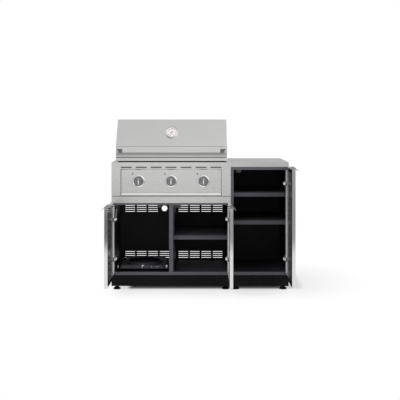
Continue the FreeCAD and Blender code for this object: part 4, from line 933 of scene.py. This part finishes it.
def tray_fasteners():
    """Latch, screws and end stops of the propane tank tray, and a black lining in its collar as painted shade.
    """
    tray_low, tray_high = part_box("tank_tray")
    lip_top = tray_high.z
    fixed, stops = Builder(), Builder()
    tank_rails = [box for box in islands(NODES["tray_rails"]) if box[1].z < TANK_RAILS_BELOW]
    for low, high in tank_rails:
        outer_x = low.x if low.x < tray_low.x else high.x
        inner = 1 if outer_x == low.x else -1
        for y in (low.y + 26 * MM, high.y - 26 * MM):
            fixed.button_screw(Vector((outer_x + inner * 9 * MM, y, high.z)), (0, 0, 1), 4.6)
        edge = sorted((outer_x + inner * 1.5 * MM, outer_x + inner * 12.5 * MM))
        stops.slab(Vector((edge[0], low.y - 2 * MM, high.z - 11 * MM)),
                   Vector((edge[1], low.y - 0.1 * MM, high.z + 14 * MM)), 0.9, 2)
        stops.button_screw(Vector((sum(edge) / 2, low.y - 2 * MM, high.z - 4 * MM)), (0, -1, 0), 3.0)
    fixed.piece("tray_rail_screws", "zinc", "cabinet", "bright_steel")
    stops.piece("tray_end_stops", "nickel", "tank_tray", "bright_steel")
    moving = Builder()
    front = tray_low.y
    for x in TRAY_LIP_SCREWS:
        moving.button_screw(Vector((x * MM, front, lip_top - 10 * MM)), (0, -1, 0), 5.6)
    moving.piece("tray_lip_screws", "zinc", "tank_tray", "bright_steel")
    latch = Builder()
    foot = Vector((TRAY_LATCH_X, front - 0.1 * MM, lip_top - 19 * MM))
    latch.prism(foot + Vector((-4 * MM, 0, 0)), (1, 0, 0), (0, 0, 1), [
        (0, 0), (7, 0), (7, 11), (11, 11), (11, 14.5), (7, 14.5), (7, 19), (16, 19), (16, 23), (2, 23),
        (0, 21),
    ], 2.4, 0.5)
    latch.button_screw(foot + Vector((-0.5 * MM, -2.4 * MM, 5 * MM)), (0, -1, 0), 2.6)
    latch.piece("tray_latch", "nickel", "tank_tray", "bright_steel")
    # Painted shade: a matt black lining that darkens the inside of the tank hole.
    trim = Builder()
    middle = Vector((TRAY_HOLE_X, FRONT_Y + TRAY_HOLE_DEPTH, tray_low.z + 18 * MM))
    trim.lathe(middle, (0, 0, 1), [
        (117.9, -0.4), (117.9, 22.0), (117.5, 22.4), (116.6, 22.4), (116.2, 22.0), (116.2, 0.0),
        (116.6, -0.4), (117.9, -0.4),
    ], 96)
    trim.piece("tank_ring_painted_shade", "rubber_and_painted_shade", "tank_tray", "black_plastic")


def side_panel_rivets():
    """Rivets where each side panel is joined to the floor and the top rail."""
    rivets = Builder()
    for name, normal in (("grill_cabinet_sides", -1), ("side_cabinet_sides", 1)):
        low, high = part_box(name)
        x = low.x if normal < 0 else high.x
        for share in (0.12, 0.5, 0.88):
            y = low.y + (high.y - low.y) * share
            rivets.rivet(Vector((x, y, low.z + 12 * MM)), (normal, 0, 0), 3.4)
    rivets.piece("side_panel_rivets", "slate", "cabinet", "slate_coat")


def pivot_bracket_screws():
    """Screws that hold the hood's brackets to the deck."""
    screws = Builder()
    for low, high in islands(NODES["hood_pivot_brackets"]):
        foot_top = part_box("grill_deck")[1].z + 2 * MM
        outward = -1 if low.x < -0.2 else 1
        outer_x = low.x if outward < 0 else high.x
        for y in (low.y + 9 * MM, high.y - 9 * MM):
            screws.button_screw(Vector((outer_x - outward * 7 * MM, y, foot_top)), (0, 0, 1), 3.4)
    screws.piece("pivot_bracket_screws", "zinc", "cabinet", "bright_steel")


def levelling_feet():
    """Feet as real ones: a moulded pad, a plated hex collar and a threaded stem."""
    for number in range(1, 9):
        node = "levelling_foot_" + str(number)
        low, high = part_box(node)
        centre = (low + high) / 2
        base = Vector((centre.x, centre.y, low.z))
        radius = (high.x - low.x) / 2 / MM
        height = (high.z - low.z) / MM
        pad = Builder()
        pad.lathe(base, (0, 0, 1), [
            (0.0, 0.0), (radius - 1.0, 0.0), (radius, 1.0), (radius, 6.0), (radius - 0.9, 7.6),
            (radius - 3.0, 9.4), (radius - 6.0, 12.0), (radius - 8.5, 15.0), (14.5, 16.4), (12.5, 16.9),
            (0.0, 16.9),
        ], 48)
        piece = pad.piece("foot_pad_" + str(number), "rubber_and_painted_shade", "foot_" + str(number), "black_plastic")
        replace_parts(piece, node)
        stem = Builder()
        stem.lathe(base, (0, 0, 1), [(8.6, 16.0, True), (8.6, 18.4, True), (5.0, 18.7, True)], 24)
        profile = [(4.0, 16.0)]
        turns = int((height - 19.0) / 1.5)
        for i in range(turns):
            z = 19.0 + 1.5 * i
            profile += [(4.1, z), (4.9, z + 0.6), (4.9, z + 0.9), (4.1, z + 1.5)]
        profile += [(3.4, height), (0.0, height)]
        stem.lathe(base, (0, 0, 1), profile, 20)
        stem.piece("foot_stem_" + str(number), "dark_steel_and_painted_shade", "foot_" + str(number), "bright_steel")


def make_camera():
    """Level camera with the photograph's horizon and scale."""
    data = bpy.data.cameras.new("camera")
    data.sensor_width = SENSOR_WIDTH
    data.lens = PHOTO_FOCAL * SENSOR_WIDTH / PHOTO_SIZE
    data.shift_y = -(PHOTO_SIZE / 2 - PHOTO_HORIZON) / PHOTO_SIZE
    camera = new_object("camera", data)
    camera.location = (0.0, FRONT_Y - CAMERA_TO_FRONT, CAMERA_HEIGHT)
    camera.rotation_euler = (math.radians(90), 0, 0)
    bpy.context.scene.camera = camera


def area_light(name, place, target, size, power):
    """A soft rectangular lamp aimed at a point."""
    data = bpy.data.lights.new(name, "AREA")
    data.shape = "RECTANGLE"
    data.size, data.size_y = size
    data.energy = power
    lamp = new_object(name, data)
    lamp.location = place
    lamp.visible_glossy = False
    lamp.rotation_euler = (Vector(target) - Vector(place)).to_track_quat("-Z", "Y").to_euler()


def make_lights():
    """Plain soft studio light: two large lamps before the object and one above."""
    middle = (0, 0, 0.6)
    area_light("key", (-1.8, -3.6, 3.0), middle, (2.4, 2.0), 60)
    area_light("fill", (2.6, -3.2, 2.2), middle, (2.4, 2.0), 46)
    area_light("top", (0.0, 0.2, 3.6), middle, (3.0, 2.4), 40)


def ramp(tree, value, stops):
    """A grey ramp: value from -1 to 1 against brightness, which comes out divided by RAMP_SCALE."""
    ramp_node = add_node(tree, "ShaderNodeValToRGB", Fac=ranged(tree, value, -1.0, 1.0))
    elements = ramp_node.color_ramp.elements
    while len(elements) < len(stops):
        elements.new(0.5)
    for element, (place, level) in zip(elements, stops):
        element.position = (place + 1) / 2
        element.color = (level / RAMP_SCALE, level / RAMP_SCALE, level / RAMP_SCALE, 1)
    return ramp_node.outputs["Color"]


def patch(tree, direction, toward, level, edge, base=0.0):
    """A round patch in one direction of the surroundings: its level inside, the base outside."""
    along = add_node(tree, "ShaderNodeVectorMath", Vector=direction)
    along.operation = "DOT_PRODUCT"
    along.inputs[1].default_value = Vector(toward).normalized()
    return ranged(tree, along.outputs["Value"], *edge, base, level, "SMOOTHSTEP")


def make_world():
    """White surroundings for the camera and through glass, studio walls in metal, plain fill for the rest."""
    world = bpy.data.worlds.new("studio")
    bpy.context.scene.world = world
    world.use_nodes = True
    tree = world.node_tree
    tree.nodes.clear()
    path = tree.nodes.new("ShaderNodeLightPath")
    place = tree.nodes.new("ShaderNodeTexCoord")
    split = add_node(tree, "ShaderNodeSeparateXYZ", Vector=place.outputs["Generated"])
    walls = product(tree, ramp(tree, split.outputs["Z"], ROOM_BY_HEIGHT),
                    ramp(tree, split.outputs["Y"], ROOM_BY_DEPTH))
    walls = product(tree, walls, ramp(tree, split.outputs["X"], ROOM_BY_SIDE))
    walls = product(tree, walls, RAMP_SCALE ** 3)
    walls = product(tree, walls, patch(tree, place.outputs["Generated"], *DARK_CARD, base=1.0))
    for softbox in SOFTBOXES:
        walls = maths(tree, "ADD", walls, patch(tree, place.outputs["Generated"], *softbox))
    fill = add_node(tree, "ShaderNodeBackground", Color=(1, 1, 1, 1), Strength=WORLD_LEVEL)
    shine = add_node(tree, "ShaderNodeBackground", Color=(1, 1, 1, 1), Strength=walls)
    white = add_node(tree, "ShaderNodeBackground", Color=(1, 1, 1, 1), Strength=1.0)
    glossy = add_node(tree, "ShaderNodeMixShader", Fac=path.outputs["Is Glossy Ray"])
    tree.links.new(fill.outputs[0], glossy.inputs[1])
    tree.links.new(shine.outputs[0], glossy.inputs[2])
    seen = maths(tree, "MAXIMUM", path.outputs["Is Camera Ray"], path.outputs["Is Transmission Ray"])
    final = add_node(tree, "ShaderNodeMixShader", Fac=seen)
    tree.links.new(glossy.outputs[0], final.inputs[1])
    tree.links.new(white.outputs[0], final.inputs[2])
    out = tree.nodes.new("ShaderNodeOutputWorld")
    tree.links.new(final.outputs[0], out.inputs["Surface"])


def seen_or_mirrored(tree):
    """One for rays that the camera, metal or glass sends out, nothing for the rest."""
    path = tree.nodes.new("ShaderNodeLightPath")
    found = path.outputs["Is Camera Ray"]
    for name in ("Is Glossy Ray", "Is Transmission Ray"):
        found = maths(tree, "MAXIMUM", found, path.outputs[name])
    return found


def floor_strength(tree, split):
    """White to the camera. In metal, the bright sweep before the object and the darker studio beyond it."""
    ahead = ranged(tree, split.outputs["Y"], FRONT_Y, FRONT_Y - FLOOR_REACH, -1.0, 1.0)
    band = ramp(tree, ahead, [(2 * d / FLOOR_REACH - 1, level) for d, level in FLOOR_BAND])
    aside = split.outputs["X"]
    far_right = product(tree, ranged(tree, aside, *FAR_RIGHT_FROM_X),
                        ranged(tree, ahead, *FAR_RIGHT_FROM_AHEAD))
    dark = maths(tree, "MAXIMUM", product(tree, band, RAMP_SCALE), far_right)
    dim = ranged(tree, aside, *FLOOR_DARK_FROM_X, *FLOOR_DARK)
    mirrored = add_node(tree, "ShaderNodeMix", Factor=dark, A=FLOOR_BRIGHT, B=dim)
    path = tree.nodes.new("ShaderNodeLightPath")
    strength = add_node(tree, "ShaderNodeMix", Factor=path.outputs["Is Glossy Ray"], A=1.0,
                        B=mirrored.outputs["Result"])
    return strength.outputs["Result"]


def floor_material():
    """Pale matt floor under and beside the object that soon turns into the white surroundings."""
    material = bpy.data.materials.new("studio_floor")
    material.use_nodes = True
    tree = material.node_tree
    tree.nodes.clear()
    place = tree.nodes.new("ShaderNodeTexCoord")
    split = add_node(tree, "ShaderNodeSeparateXYZ", Vector=place.outputs["Object"])
    low, high = CAD_BOX
    sides = (("X", -1, low.x + FLOOR_LEFT[0], FLOOR_LEFT[1]),
             ("X", 1, high.x + FLOOR_RIGHT[0], FLOOR_RIGHT[1]),
             ("Y", -1, FRONT_Y + FLOOR_UNDER, 1.0), ("Y", 1, high.y, 1.0))
    outside = []
    for axis, way, edge, scale in sides:
        beyond = maths(tree, "MULTIPLY_ADD", split.outputs[axis], way * scale, -way * edge * scale)
        beyond.node.use_clamp = True
        outside.append(beyond)
    flat = add_node(tree, "ShaderNodeCombineXYZ", X=maths(tree, "ADD", *outside[:2]),
                    Y=maths(tree, "ADD", *outside[2:]))
    distance = tree.nodes.new("ShaderNodeVectorMath")
    distance.operation = "LENGTH"
    tree.links.new(flat.outputs[0], distance.inputs[0])
    end = FLOOR_FADE[-1][0]
    off = ranged(tree, distance.outputs["Value"], 0.0, end, -1.0, 1.0)
    fade = ramp(tree, off, [(2 * d / end - 1, level) for d, level in FLOOR_FADE])
    fade = product(tree, fade, RAMP_SCALE)
    matt = add_node(tree, "ShaderNodeBsdfDiffuse", Color=(0.92, 0.92, 0.92, 1))
    white = add_node(tree, "ShaderNodeEmission", Color=(1, 1, 1, 1), Strength=floor_strength(tree, split))
    mix = add_node(tree, "ShaderNodeMixShader", Fac=product(tree, fade, seen_or_mirrored(tree)))
    tree.links.new(matt.outputs[0], mix.inputs[1])
    tree.links.new(white.outputs[0], mix.inputs[2])
    out = tree.nodes.new("ShaderNodeOutputMaterial")
    tree.links.new(mix.outputs[0], out.inputs["Surface"])
    return material


def make_floor():
    """Round floor that isn't part of the object."""
    mesh = bmesh.new()
    bmesh.ops.create_circle(mesh, cap_ends=True, segments=96, radius=30.0)
    data = bpy.data.meshes.new("floor")
    mesh.to_mesh(data)
    mesh.free()
    data.materials.append(floor_material())
    new_object("floor", data)


dress_frame()
for knob in KNOBS:
    knob_pieces(knob)
knob_bezel_pieces()
burner_marks()
thermometer_pieces()
panel_trim()
hood_lip_pieces()
hood_bumpers()
hinge_screws()
hinge_dampers()
door_hem_strips()
catch_pieces()
tray_fasteners()
side_panel_rivets()
pivot_bracket_screws()
levelling_feet()
make_camera()
make_lights()
make_world()
make_floor()
bpy.context.scene.view_settings.view_transform = "Standard"
